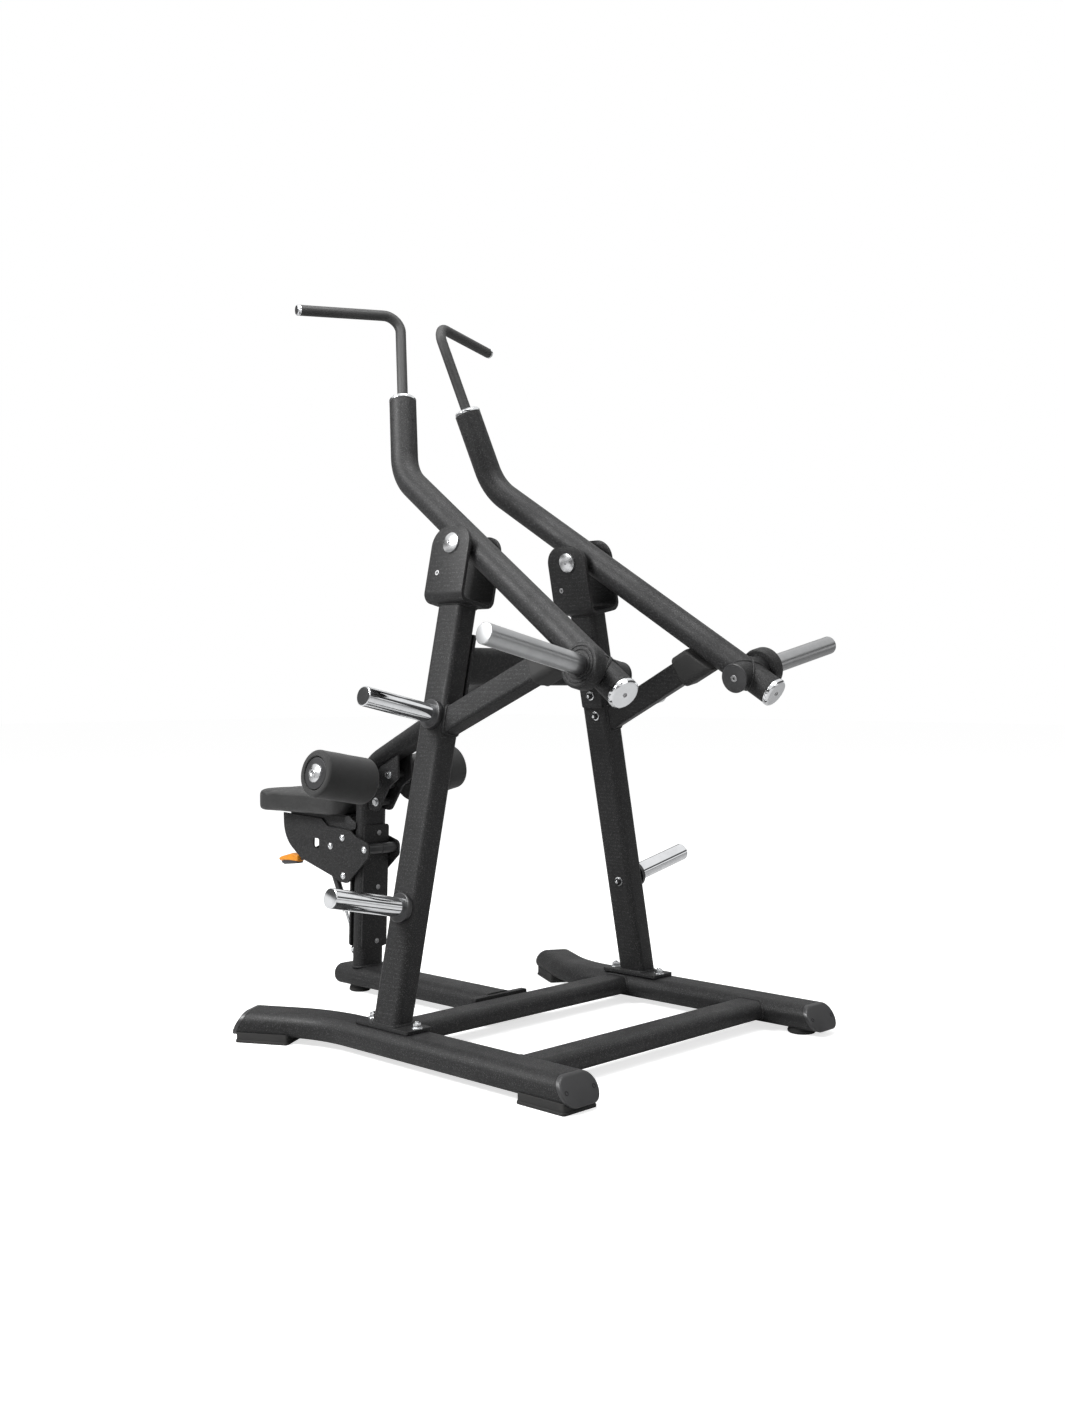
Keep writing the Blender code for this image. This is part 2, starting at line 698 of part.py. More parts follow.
def build_seat_post(frame, post):
    stand = piece("seat_post", seat_post_mesh(), PAINT, frame)
    rearward, upward = post_axis()
    corner = Vector((0, SEAT_POST_Y, SEAT_POST_Z))
    m, t = STRUT_LOW
    pin = corner + rearward * m + upward * t
    root = -CROSS_H / 2 + 0.004
    lug = filleted([
        (root, t - 0.016, 0), (root, t + 0.016, 0), (m - 0.011, t + 0.011, 0.008),
        (m - 0.011, t - 0.011, 0.008),
    ])
    for low, high in ((-0.0170, -0.0110), (0.0110, 0.0170)):
        join(stand, along(lug, corner, rearward, upward, low, high))
    join(stand, rod(STRUT_PIN_R, pin, X, -0.022, 0.022, 12))

    half = GUIDE_W / 2
    plate = [(-half, GUIDE_LOW), (half, GUIDE_LOW), (half, GUIDE_HIGH), (-half, GUIDE_HIGH)]
    corners = [(a, b, 0.010) for a, b in plate]
    inner = CROSS_H / 2 + GAP
    mesh = along(filleted(corners), (0, 0, 0), X, Z, -inner - REAR_GUIDE_T, -inner)
    piece("rear_guide_plate", mesh, PAINT, post)
    mesh = along(filleted(corners), (0, 0, 0), X, Z, inner, inner + FRONT_GUIDE_T)
    front = piece("front_guide_plate", mesh, PAINT, post)
    for k in range(LATCH_COUNT):
        height = LATCH_T - k * LATCH_PITCH
        cut(front, rod(LATCH_R + 0.001, (0, -inner, height), Y, -2 * FRONT_GUIDE_T, 0.002, 12))


def knee_shaft_mesh(grow=0.0):
    """Round bar bent upward at its middle."""
    middle = Vector((0, KNEE_Y, KNEE_Z))
    across = Vector((cos(KNEE_TILT), 0, 0)) * KNEE_SHAFT_HALF
    rise = Vector((0, 0, sin(KNEE_TILT))) * KNEE_SHAFT_HALF
    ends = (middle - across + rise, middle, middle + across + rise)
    return bent(circle(KNEE_SHAFT_R + grow), ends, KNEE_BEND_R, Y)


def build_knee_rest(frame):
    """Bracket under the beam's bend, and the shaft, foam rollers and end caps that it holds."""
    outline = filleted([
        (-0.650, 0.640, 0), (-0.634, 0.560, 0.008), (-0.596, 0.556, 0.022), (-0.566, 0.600, 0.020),
        (-0.545, 0.632, 0.03), (-0.502, 0.660, 0.012), (-0.505, 0.765, 0), (-0.590, 0.730, 0),
    ])
    bracket = None
    for side, name in SIDES:
        low = side * BRACKET_X - BRACKET_T / 2
        mesh = along(outline, (0, 0, 0), Y, Z, low, low + BRACKET_T)
        if bracket is None:
            bracket = piece("knee_bracket", mesh, PAINT, frame)
        else:
            join(bracket, mesh)
    for y, z, radius in ((-0.602, 0.585, 0.011), (-0.542, 0.669, 0.010)):
        join(bracket, rod(radius, (0, y, z), X, -BRACKET_X, BRACKET_X, 16))
    cut(bracket, seat_post_mesh(GAP))
    cut(bracket, knee_shaft_mesh(GAP))
    piece("knee_shaft", knee_shaft_mesh(), STEEL, frame)

    hole = KNEE_SHAFT_R + FIT
    floor = FOAM_OUT - FOAM_RECESS
    edge = FOAM_EDGE
    arc = [(edge * (1 - cos(k * pi / 6)), edge * (1 - sin(k * pi / 6))) for k in range(4)]
    profile = [(hole, FOAM_IN)]
    profile += [(FOAM_R - b, FOAM_IN + a) for a, b in arc]
    profile += [(FOAM_R - a, FOAM_OUT - b) for a, b in arc]
    profile += [(FOAM_RECESS_R, FOAM_OUT), (FOAM_RECESS_R, floor), (hole, floor)]
    start = floor + 2 * GAP
    dome = start + WASHER_T
    tip = KNEE_SHAFT_HALF + GAP
    cap = [
        (KNEE_SHAFT_R + GAP, start), (WASHER_R, start), (WASHER_R, dome), (KNEE_CAP_R, dome),
        (KNEE_CAP_R, dome + 0.003), (KNEE_CAP_R * 0.6, dome + 0.009), (0.004, dome + 0.011), (0.004, tip),
        (KNEE_SHAFT_R + GAP, tip),
    ]
    for side, name in SIDES:
        middle = (0, KNEE_Y, KNEE_Z)
        spin = empty(f"{name}_knee_line", frame, middle, (0, -side * KNEE_TILT, 0))
        piece(f"{name}_knee_foam", turned(profile, (0, 0, 0), side * X, 28, True), FOAM, spin)
        piece(f"{name}_roller_cap", turned(cap, (0, 0, 0), side * X, 24, True), CHROME, spin)


# Seat carriage, in the seat post's frame (X across, Y as m, Z as t)


def front_face():
    """m of the front guide plate's front surface."""
    return -(CROSS_H / 2 + GAP + FRONT_GUIDE_T)


def level_t(z, m):
    """t at which height z is met at m."""
    return (z - SEAT_POST_Z + m * sin(SEAT_POST_TILT)) / cos(SEAT_POST_TILT)


def build_carriage(post):
    outline = filleted([
        (-0.3565, -0.1665, 0), (-0.350, -0.247, 0.10), (-0.262, -0.3015, 0.05), (-0.100, -0.340, 0.06),
        (-0.064, -0.352, 0.018), (-0.030, -0.352, 0.022), (0.068, -0.262, 0.018), (0.068, -0.222, 0.018),
        (0.006, -0.207, 0.02), (-0.022, -0.192, 0.012), (-0.062, -0.189, 0.02), (-0.130, -0.189, 0.02),
        (-0.163, -0.1665, 0),
    ])
    rear_m = CROSS_H / 2 + GAP + REAR_GUIDE_T + CARRIAGE_ROLLER_R + FIT
    front_m = front_face() - CARRIAGE_ROLLER_R - FIT
    carriage = None
    for side, name in SIDES:
        low = side * PLATE_X - PLATE_T / 2
        mesh = along(outline, (0, 0, 0), Y, Z, low, low + PLATE_T)
        if carriage is None:
            carriage = piece("seat_carriage", mesh, PAINT, post)
        else:
            join(carriage, mesh)
    pins = (
        (rear_m, REAR_ROLLER_T, ROLLER_PIN_R), (front_m, FRONT_ROLLER_T, ROLLER_PIN_R),
        (SPACER_M, SPACER_T, SPACER_R), (LEVER_M, LEVER_T, LEVER_PIN_R), (*STRUT_UP, STRUT_PIN_R),
    )
    for m, t, radius in pins:
        join(carriage, rod(radius, (0, m, t), X, -PLATE_X, PLATE_X, 16))
    low_m, high_m = BLOCK_M
    half_block = 0.014
    join(carriage, box((-PLATE_X, low_m, LATCH_T - half_block), (PLATE_X, high_m, LATCH_T + half_block)))
    cut(carriage, rod(LATCH_R + FIT, (0, 0, LATCH_T), Y, low_m - 0.02, high_m + 0.02, 16))
    window = filleted([
        (-0.199, -0.231, 0.002), (-0.199, -0.262, 0.012), (-0.172, -0.262, 0.006), (-0.172, -0.231, 0.006),
    ])
    cut(carriage, along(window, (0, 0, 0), Y, Z, -0.1, 0.1))

    for where, m, t in (("rear", rear_m, REAR_ROLLER_T), ("front", front_m, FRONT_ROLLER_T)):
        turning = empty(f"{where}_roller_spin", post, (0, m, t))
        half = PLATE_X - PLATE_T / 2 - 0.001
        barrel = tube(ROLLER_PIN_R + FIT, CARRIAGE_ROLLER_R, (0, 0, 0), X, -half, half, 20)
        piece(f"{where}_carriage_roller", barrel, PLASTIC, turning)


def build_seat(post, machine):
    """Inner seat plates with their top plate, and the cushion on it."""
    top_z = CUSHION_Z - GAP
    level = Vector((0, -sin(SEAT_POST_TILT), cos(SEAT_POST_TILT)))
    top = (Vector((0, 0, level_t(top_z, 0))), level)
    under = (Vector((0, 0, level_t(top_z - 0.006, 0))), level)
    outline = filleted([
        (-0.330, level_t(top_z, -0.330), 0), (-0.300, -0.206, 0.03), (-0.225, -0.206, 0.02),
        (-0.205, -0.196, 0.01),
        (-0.040, -0.196, 0.02), (-0.003, -0.184, 0.008), (-0.003, -0.166, 0.006), (-0.028, -0.156, 0.012),
        (-0.034, level_t(top_z, -0.034), 0),
    ])
    seat = None
    for side, name in SIDES:
        low = side * INNER_X - INNER_T / 2
        mesh = along(outline, (0, 0, 0), Y, Z, low, low + INNER_T)
        if seat is None:
            seat = piece("seat_frame", mesh, PAINT, post)
        else:
            join(seat, mesh)
    width = INNER_X + INNER_T / 2
    board = [(-width, -0.340), (width, -0.340), (width, -0.060), (-width, -0.060)]
    join(seat, along(board, (0, 0, 0), X, Y, under, top))
    cut(seat, rod(SPACER_R + GAP, (0, SPACER_M, SPACER_T), X, -0.1, 0.1, 16))

    a = CUSHION_FRONT_W / 2
    b = CUSHION_REAR_W / 2
    outline = filleted([
        (-a, CUSHION_FRONT_Y, CUSHION_FRONT_R), (a, CUSHION_FRONT_Y, CUSHION_FRONT_R),
        (b, CUSHION_REAR_Y, CUSHION_REAR_R), (-b, CUSHION_REAR_Y, CUSHION_REAR_R),
    ])
    cushion = along(outline, (0, 0, CUSHION_Z), X, Y, 0, CUSHION_T)
    rim = [edge for edge in cushion.edges if edge.calc_face_angle(0) > radians(60)]
    bmesh.ops.bevel(cushion, geom=rim, offset=0.010, segments=3, profile=0.5, affect="EDGES")
    piece("seat_cushion", cushion, VINYL, machine)


def build_latch(post):
    tip = front_face() - LATCH_REST
    piece("latch_pin", rod(LATCH_R, (0, 0, LATCH_T), Y, tip - 0.075, tip, 16, 0.001), STEEL, post)

    turning = empty("lever_pivot", post, (LEVER_X, LEVER_M, LEVER_T))
    bar = filleted([
        (0.012, -0.010, 0.008), (0.012, 0.010, 0.008), (-0.100, -0.012, 0.02), (-0.190, -0.052, 0.008),
        (-0.190, -0.070, 0.004), (-0.100, -0.040, 0.02),
    ])
    lever = piece("seat_lever", along(bar, (0, 0, 0), Y, Z, -LEVER_W / 2, LEVER_W / 2), PAINT, turning)
    join(lever, rod(0.012, (0, 0, 0), X, -LEVER_W / 2, LEVER_W / 2, 16))
    cut(lever, rod(LEVER_PIN_R + FIT, (0, 0, 0), X, -0.02, 0.02, 16))
    hand = [
        (-0.192, -0.052, 0), (-0.230, -0.050, 0.03), (-0.280, -0.066, 0.02), (-0.306, -0.084, 0.006),
        (-0.300, -0.094, 0.006), (-0.240, -0.090, 0.03), (-0.192, -0.080, 0),
    ]
    grip = along(filleted(hand), (0, 0, 0), Y, Z, -0.015, 0.015)
    piece("lever_grip", grip, ORANGE, turning)


def build_strut(post):
    """Gas strut: the rod turns on the seat post's lug, the tube slides on it towards the carriage."""
    low = Vector((0, *STRUT_LOW))
    high = Vector((0, *STRUT_UP))
    axis = (high - low).normalized()
    length = (high - low).length
    turning = empty("strut_pivot", post, low)
    mesh = rod(STRUT_ROD_R, (0, 0, 0), axis, 0.006, STRUT_TUBE_START + 0.040, 12)
    stem = piece("strut_rod", mesh, CHROME, turning)
    join(stem, rod(EYE_R, (0, 0, 0), X, -0.008, 0.008, 16))
    cut(stem, rod(STRUT_PIN_R + FIT, (0, 0, 0), X, -0.02, 0.02, 12))
    bore = STRUT_ROD_R + FIT
    end = length - OPEN_EYE_OUTER + 0.002
    profile = [
        (bore, STRUT_TUBE_START), (STRUT_TUBE_R, STRUT_TUBE_START), (STRUT_TUBE_R, end - 0.012),
        (0.006, end - 0.008), (0.006, end), (0.002, end), (0.002, end - 0.022), (bore, end - 0.022),
    ]
    barrel = piece("strut_tube", turned(profile, (0, 0, 0), axis, 16, True), PLASTIC, turning)
    join(barrel, rod(0.0045, (0, 0, 0), axis, end - 0.030, end, 12))
    join(barrel, rod(OPEN_EYE_OUTER, high - low, X, -0.007, 0.007, 20))
    cut(barrel, rod(OPEN_EYE_R, high - low, X, -0.02, 0.02, 16))


for old in list(bpy.data.objects):
    bpy.data.objects.remove(old, do_unlink=True)

PAINT = finish("powder_coat", (0.028, 0.028, 0.029), 0.5, 0.0)
PLASTIC = finish("black_plastic", (0.02, 0.02, 0.02), 0.4, 0.0)
RUBBER = finish("rubber", (0.015, 0.015, 0.015), 0.7, 0.0)
GRIP = finish("grip_coat", (0.02, 0.02, 0.02), 0.55, 0.0)
FOAM = finish("foam", (0.016, 0.016, 0.016), 0.8, 0.0)
VINYL = finish("vinyl", (0.012, 0.012, 0.012), 0.45, 0.0)
CHROME = finish("chrome", (0.85, 0.85, 0.86), 0.08, 1.0)
STEEL = finish("satin_steel", (0.55, 0.56, 0.56), 0.3, 1.0)
ORANGE = finish("orange_grip", (0.72, 0.28, 0.01), 0.45, 0.0)
SIDES = ((1, "right"), (-1, "left"))

MACHINE = empty("machine", None, (0, CENTRE_SHIFT, 0))
build_base(MACHINE)
build_feet(MACHINE)
build_cross_member(MACHINE)
bend_corner = (0, SEAT_POST_Y, SEAT_POST_Z)
SEAT_POST = empty("seat_post_frame", MACHINE, bend_corner, (-SEAT_POST_TILT, 0, 0))
build_seat_post(MACHINE, SEAT_POST)
build_knee_rest(MACHINE)
build_carriage(SEAT_POST)
build_seat(SEAT_POST, MACHINE)
build_latch(SEAT_POST)
build_strut(SEAT_POST)
for side, name in SIDES:
    leaning = side_frame(side, name, MACHINE)
    build_rails(side, name, MACHINE)
    build_post(side, name, leaning)
    build_clevis(side, name, leaning)
    build_storage_horns(side, name, leaning)
    build_stop(side, name, leaning)
    swinging = empty(f"{name}_arm_pivot", leaning, (0, 0, PIVOT_U))
    top, stem = build_arm(side, name, swinging)
    build_handle(side, name, swinging, top, stem)
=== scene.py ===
import json
from math import acos, atan2, cos, pi, radians, sin, tan

import bmesh
import bpy
import numpy as np
from mathutils import Matrix, Vector


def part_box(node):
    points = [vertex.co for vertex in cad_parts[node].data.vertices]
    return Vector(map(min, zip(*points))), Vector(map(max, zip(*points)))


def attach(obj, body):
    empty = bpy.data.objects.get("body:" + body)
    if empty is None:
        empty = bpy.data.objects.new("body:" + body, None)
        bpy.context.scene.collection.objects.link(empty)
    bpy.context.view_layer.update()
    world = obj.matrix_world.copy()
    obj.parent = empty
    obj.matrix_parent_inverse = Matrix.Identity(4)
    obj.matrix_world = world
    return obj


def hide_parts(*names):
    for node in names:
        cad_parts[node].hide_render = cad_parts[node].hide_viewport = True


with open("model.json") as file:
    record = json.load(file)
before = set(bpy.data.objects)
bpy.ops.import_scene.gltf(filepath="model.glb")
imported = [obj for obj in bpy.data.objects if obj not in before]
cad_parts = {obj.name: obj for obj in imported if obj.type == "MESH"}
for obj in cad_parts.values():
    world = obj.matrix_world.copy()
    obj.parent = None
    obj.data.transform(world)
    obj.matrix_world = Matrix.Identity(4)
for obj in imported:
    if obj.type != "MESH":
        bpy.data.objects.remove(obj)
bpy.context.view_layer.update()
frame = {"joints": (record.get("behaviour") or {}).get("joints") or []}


# ---- Base rails -----------------------------------------------------------------------------------
# Two flat-oval steel tubes, straight at the back and splayed outward at the front, powder coated in
# a charcoal wrinkle finish. Each is one length bent over a large former and cut on a slant at its ends.

joints = {joint["name"]: joint for joint in frame["joints"]}
MID_Y = joints["right_arm_swing"]["pos_m"][1]     # the posts' plane; lengths along Y are from here
X_AXIS = np.array((1.0, 0, 0))
Y_AXIS = np.array((0, 1.0, 0))
Z_AXIS = np.array((0, 0, 1.0))
SIDES = ((1, "right"), (-1, "left"))

RAIL_X = 0.482
RAIL_Z = 0.049
RAIL_W = 0.120
RAIL_H = 0.066
RAIL_REAR_Y = 0.6295
RAIL_BEND_Y = -0.2527
RAIL_SPLAY = radians(29.5)
RAIL_BEND_R = 0.40
RAIL_FRONT = 0.240
END_SLANT = radians(30)
CAP_THICK = 0.012


def unit(vector):
    vector = np.asarray(vector, float)
    return vector / np.linalg.norm(vector)


def frame_at(origin, *axes):
    """Carries points into the machine: the origin plus each measured length times its axis."""
    origin = np.array(origin, float)
    basis = np.array(axes, float)
    return lambda points: origin + np.asarray(points, float) @ basis


in_machine = frame_at((0, MID_Y, 0), X_AXIS, Y_AXIS, Z_AXIS)


def rounded_corners(corners, steps=8, closed=True):
    """Outline through corners (a, b, radius): each becomes an arc of its radius that touches both sides."""
    points = []
    count = len(corners)
    for i, (a, b, radius) in enumerate(corners):
        inner = closed or 0 < i < count - 1
        if radius == 0 or not inner:
            points.append((a, b))
            continue
        corner = np.array((a, b))
        before = unit(np.array(corners[i - 1][:2]) - corner)
        after = unit(np.array(corners[(i + 1) % count][:2]) - corner)
        half = acos(np.clip(before @ after, -1, 1)) / 2
        centre = corner + unit(before + after) * radius / sin(half)
        first = corner + before * radius / tan(half) - centre
        last = corner + after * radius / tan(half) - centre
        start = atan2(first[1], first[0])
        turn = (atan2(last[1], last[0]) - start + pi) % (2 * pi) - pi
        angles = start + turn * np.linspace(0, 1, steps + 1)
        points += list(zip(centre[0] + radius * np.cos(angles), centre[1] + radius * np.sin(angles)))
    return np.array(points, float)


def box_outline(width, height, radius, grow=0.0, steps=6):
    """Box with rounded corners, grown outward by grow all round."""
    a = width / 2 + grow
    b = height / 2 + grow
    r = max(radius + grow, 0.0004)
    return rounded_corners([(-a, -b, r), (a, -b, r), (a, b, r), (-a, b, r)], steps)


def oval_outline(width, height, grow=0.0, steps=14):
    """Flat oval: two straight sides joined by half circles, grown outward by grow."""
    return box_outline(width, height, height / 2 - 0.0004, grow, steps)


def disc_outline(radius, count=56):
    turns = np.linspace(0, 2 * pi, count, endpoint=False)
    return np.stack([radius * np.cos(turns), radius * np.sin(turns)], -1)


def skin(rings, closed=False):
    """Surface through rings of points, each joined to the next. The end rings are filled, or joined if closed.

    Its UV map runs round the rings and along them, in metres."""
    rings = np.asarray(rings, float)
    if closed:
        rings = np.concatenate([rings, rings[:1]])
    rows, columns = rings.shape[:2]
    keys = np.arange(rows * columns).reshape(rows, columns)
    if closed:
        keys[-1] = keys[0]
    wrapped = np.concatenate([keys, keys[:, :1]], axis=1)
    quads = np.stack([wrapped[:-1, :-1], wrapped[:-1, 1:], wrapped[1:, 1:], wrapped[1:, :-1]], -1)
    looped = np.concatenate([rings, rings[:, :1]], axis=1)
    around = np.zeros((rows, columns + 1))
    around[:, 1:] = np.cumsum(np.linalg.norm(np.diff(looped, axis=1), axis=2), axis=1)
    length = np.zeros((rows, columns + 1))
    steps = np.linalg.norm(np.diff(rings.mean(axis=1), axis=0), axis=1)
    length[1:] = np.cumsum(np.maximum(steps, 1e-6))[:, None]
    sheet = np.stack([around, length], -1)
    uv = np.stack([sheet[:-1, :-1], sheet[:-1, 1:], sheet[1:, 1:], sheet[1:, :-1]], -2).reshape(-1, 2)
    faces = quads.reshape(-1, 4).tolist()
    points = rings.reshape(-1, 3)
    if closed:
        return points[:-columns], faces, uv
    for ring, row in ((rings[0], keys[0][::-1]), (rings[-1], keys[-1])):
        flat = ring - ring.mean(axis=0)
        first = unit(flat[0] + 1e-12)
        second = unit(np.cross(np.cross(first, flat[columns // 4]), first))
        faces.append(row.tolist())
        order = flat[::-1] if row[0] == keys[0][-1] and ring is rings[0] else flat
        uv = np.concatenate([uv, np.stack([order @ first, order @ second], -1)])
    return points, faces, uv


def mirrored(shell):
    """The same shell on the machine's other side."""
    points, faces, uv = shell
    return points * (-1, 1, 1), faces, uv


def make(name, shells, material, body, stands_for=()):
    """Puts closed shells into one smooth-shaded object that rides on a body and stands for CAD nodes."""
    points = []
    faces = []
    maps = []
    start = 0
    for shell_points, shell_faces, shell_uv in shells:
        points.append(shell_points)
        faces += [[key + start for key in face] for face in shell_faces]
        maps.append(shell_uv)
        start += len(shell_points)
    mesh = bpy.data.meshes.new(name)
    mesh.from_pydata(np.concatenate(points).tolist(), [], faces)
    mesh.uv_layers.new(name="UVMap").data.foreach_set("uv", np.concatenate(maps).ravel())
    work = bmesh.new()
    work.from_mesh(mesh)
    bmesh.ops.remove_doubles(work, verts=work.verts, dist=1e-6)
    bmesh.ops.recalc_face_normals(work, faces=work.faces)
    work.to_mesh(mesh)
    work.free()
    mesh.shade_smooth()
    mesh.set_sharp_from_angle(angle=radians(34))
    mesh.materials.append(material)
    made = bpy.data.objects.new(name, mesh)
    bpy.context.scene.collection.objects.link(made)
    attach(made, body)
    if stands_for:
        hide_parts(*stands_for)
    return made


def bent_path(corners, radius, steps=20):
    """Points and headings along straight runs joined by arcs of one radius."""
    corners = [np.array(corner, float) for corner in corners]
    centres = [corners[0]]
    headings = [unit(corners[1] - corners[0])]
    for before, corner, after in zip(corners, corners[1:], corners[2:]):
        arriving = unit(corner - before)
        leaving = unit(after - corner)
        turn = acos(np.clip(arriving @ leaving, -1, 1))
        inward = unit(leaving - arriving)
        centre = corner + inward * radius / cos(turn / 2)
        for angle in turn * np.linspace(0, 1, steps + 1):
            outward = -inward * cos(angle - turn / 2) + unit(arriving + leaving) * sin(angle - turn / 2)
            centres.append(centre + outward * radius)
            headings.append(unit(arriving * sin(turn - angle) + leaving * sin(angle)))
    centres.append(corners[-1])
    headings.append(unit(corners[-1] - corners[-2]))
    return np.array(centres), np.array(headings)


def swept(outline, centres, headings, across):
    """Rings of an outline along a path: its first coordinate lies along across, its second square to both."""
    across = np.broadcast_to(unit(across), centres.shape)
    side = np.cross(headings, across)
    return centres[:, None] + across[:, None] * outline[None, :, :1] + side[:, None] * outline[None, :, 1:]


def trimmed(ring, heading, point, normal):
    """A ring slid along its heading until it lies in a plane."""
    heading = np.asarray(heading, float)
    distance = ((np.asarray(point) - ring) @ normal) / (heading @ normal)
    return ring + heading * distance[:, None]


def new_material(name, slot, colour, roughness, metallic=0.0):
    """A material for one of the record's slots, with the finish's plain values on the shader itself."""
    material = bpy.data.materials.new(name)
    material["slot"] = slot
    material.use_nodes = True
    shader = material.node_tree.nodes["Principled BSDF"]
    shader.inputs["Base Color"].default_value = (*colour, 1)
    shader.inputs["Roughness"].default_value = roughness
    shader.inputs["Metallic"].default_value = metallic
    return material, material.node_tree, shader


def node(tree, kind, values=(), **settings):
    """Adds a node, sets its options and its sockets: a value is a number or the socket that feeds it."""
    added = tree.nodes.new(kind)
    for key, value in settings.items():
        setattr(added, key, value)
    for key, value in dict(values).items():
        if isinstance(value, bpy.types.NodeSocket):
            tree.links.new(value, added.inputs[key])
        else:
            added.inputs[key].default_value = value
    return added


def new_group(name, inputs, outputs):
    """An empty shader node group with the named sockets; inputs are (name, kind, value)."""
    group = bpy.data.node_groups.new(name, "ShaderNodeTree")
    for label, kind, value in inputs:
        socket = group.interface.new_socket(label, in_out="INPUT", socket_type=kind)
        if value is not None:
            socket.default_value = value
    for label, kind in outputs:
        group.interface.new_socket(label, in_out="OUTPUT", socket_type=kind)
    return group, group.nodes.new("NodeGroupInput").outputs, group.nodes.new("NodeGroupOutput").inputs


def placed_group(tree, group, values):
    added = node(tree, "ShaderNodeGroup", node_tree=group)
    for key, value in values.items():
        if isinstance(value, bpy.types.NodeSocket):
            tree.links.new(value, added.inputs[key])
        else:
            added.inputs[key].default_value = value
    return added


def ramp(tree, value, low, high, dark, light):
    """Smooth step of a value between two levels, between two results."""
    return node(tree, "ShaderNodeMapRange", {"Value": value, "From Min": low, "From Max": high,
                                             "To Min": dark, "To Max": light},
                interpolation_type="SMOOTHSTEP").outputs["Result"]


def mixed(tree, factor, first, second):
    """Colour between two colours."""
    mix = node(tree, "ShaderNodeMix", data_type="RGBA")
    for socket, value in ((mix.inputs["Factor"], factor), (mix.inputs[6], first), (mix.inputs[7], second)):
        if isinstance(value, bpy.types.NodeSocket):
            tree.links.new(value, socket)
        else:
            socket.default_value = (*value, 1) if isinstance(value, tuple) else value
    return mix.outputs[2]


def grain_group():
    """Fine pitted grain: a fine noise over a coarser one for height, and scattered bright flecks."""
    group, given, results = new_group("fine_grain", (("Position", "NodeSocketVector", None),
                                                     ("Grains per metre", "NodeSocketFloat", 700.0),
                                                     ("Fleck share", "NodeSocketFloat", 0.2)),
                                      (("Height", "NodeSocketFloat"), ("Flecks", "NodeSocketFloat"),
                                       ("Mottle", "NodeSocketFloat")),)
    fine = node(group, "ShaderNodeTexNoise", {"Vector": given[0], "Scale": given[1], "Detail": 2.0,
                                              "Roughness": 0.6})
    coarse = node(group, "ShaderNodeTexNoise", {"Vector": given[0], "Scale": 9.0, "Detail": 3.0,
                                                "Roughness": 0.55})
    cells = node(group, "ShaderNodeTexVoronoi", {"Vector": given[0], "Scale": given[1]}, feature="F1")
    tone = node(group, "ShaderNodeSeparateColor", {"Color": cells.outputs["Color"]}).outputs[0]
    bare = node(group, "ShaderNodeMath", {0: 1.0, 1: given[2]}, operation="SUBTRACT").outputs[0]
    picked = node(group, "ShaderNodeMath", {0: tone, 1: bare}, operation="GREATER_THAN").outputs[0]
    near = ramp(group, cells.outputs["Distance"], 0.15, 0.5, 1.0, 0.0)
    flecks = node(group, "ShaderNodeMath", {0: picked, 1: near}, operation="MULTIPLY").outputs[0]
    group.links.new(fine.outputs[0], results[0])
    group.links.new(flecks, results[1])
    group.links.new(coarse.outputs[0], results[2])
    return group


GRAIN = grain_group()


def powder_coat(name, dark, light, fleck, roughness, relief):
    """Textured powder coat: charcoal grain with paler flecks, a dull gloss and a pebbled surface."""
    material, tree, shader = new_material(name, "powder_coat", dark, roughness)
    position = node(tree, "ShaderNodeTexCoord").outputs["Object"]
    grain = placed_group(tree, GRAIN, {"Position": position, "Grains per metre": 430.0, "Fleck share": 0.26})
    body = mixed(tree, ramp(tree, grain.outputs["Height"], 0.36, 0.66, 0.0, 1.0), dark, light)
    speckled = mixed(tree, grain.outputs["Flecks"], body, fleck)
    tree.links.new(speckled, shader.inputs["Base Color"])
    dull = ramp(tree, grain.outputs["Mottle"], 0.3, 0.7, roughness - 0.05, roughness + 0.07)
    sparkle = node(tree, "ShaderNodeMath", {0: grain.outputs["Flecks"], 1: -0.16, 2: dull},
                   operation="MULTIPLY_ADD")
    tree.links.new(sparkle.outputs[0], shader.inputs["Roughness"])
    shader.inputs["Specular IOR Level"].default_value = 0.26
    bump = node(tree, "ShaderNodeBump", {"Height": grain.outputs["Height"], "Strength": relief,
                                         "Distance": 0.0006})
    tree.links.new(bump.outputs[0], shader.inputs["Normal"])
    return material


FRAME_COAT = powder_coat("charcoal_powder_coat", (0.0045, 0.0045, 0.0047), (0.019, 0.019, 0.0195),
                         (0.075, 0.075, 0.077), 0.52, 0.8)


def rail_line():
    """Corners of the right rail's centre line, rear end first, and its headings out of its rear and front."""
    splay = np.array((sin(RAIL_SPLAY), -cos(RAIL_SPLAY), 0))
    corner = np.array((RAIL_X, RAIL_BEND_Y, RAIL_Z))
    return in_machine([(RAIL_X, RAIL_REAR_Y, RAIL_Z), corner, corner + splay * RAIL_FRONT]), (Y_AXIS, splay)


def slanted(point, outward, inset):
    """Plane across a rail's end that leans back by the slant, inset along the rail."""
    return point - outward * inset, outward * cos(END_SLANT) + Z_AXIS * sin(END_SLANT)


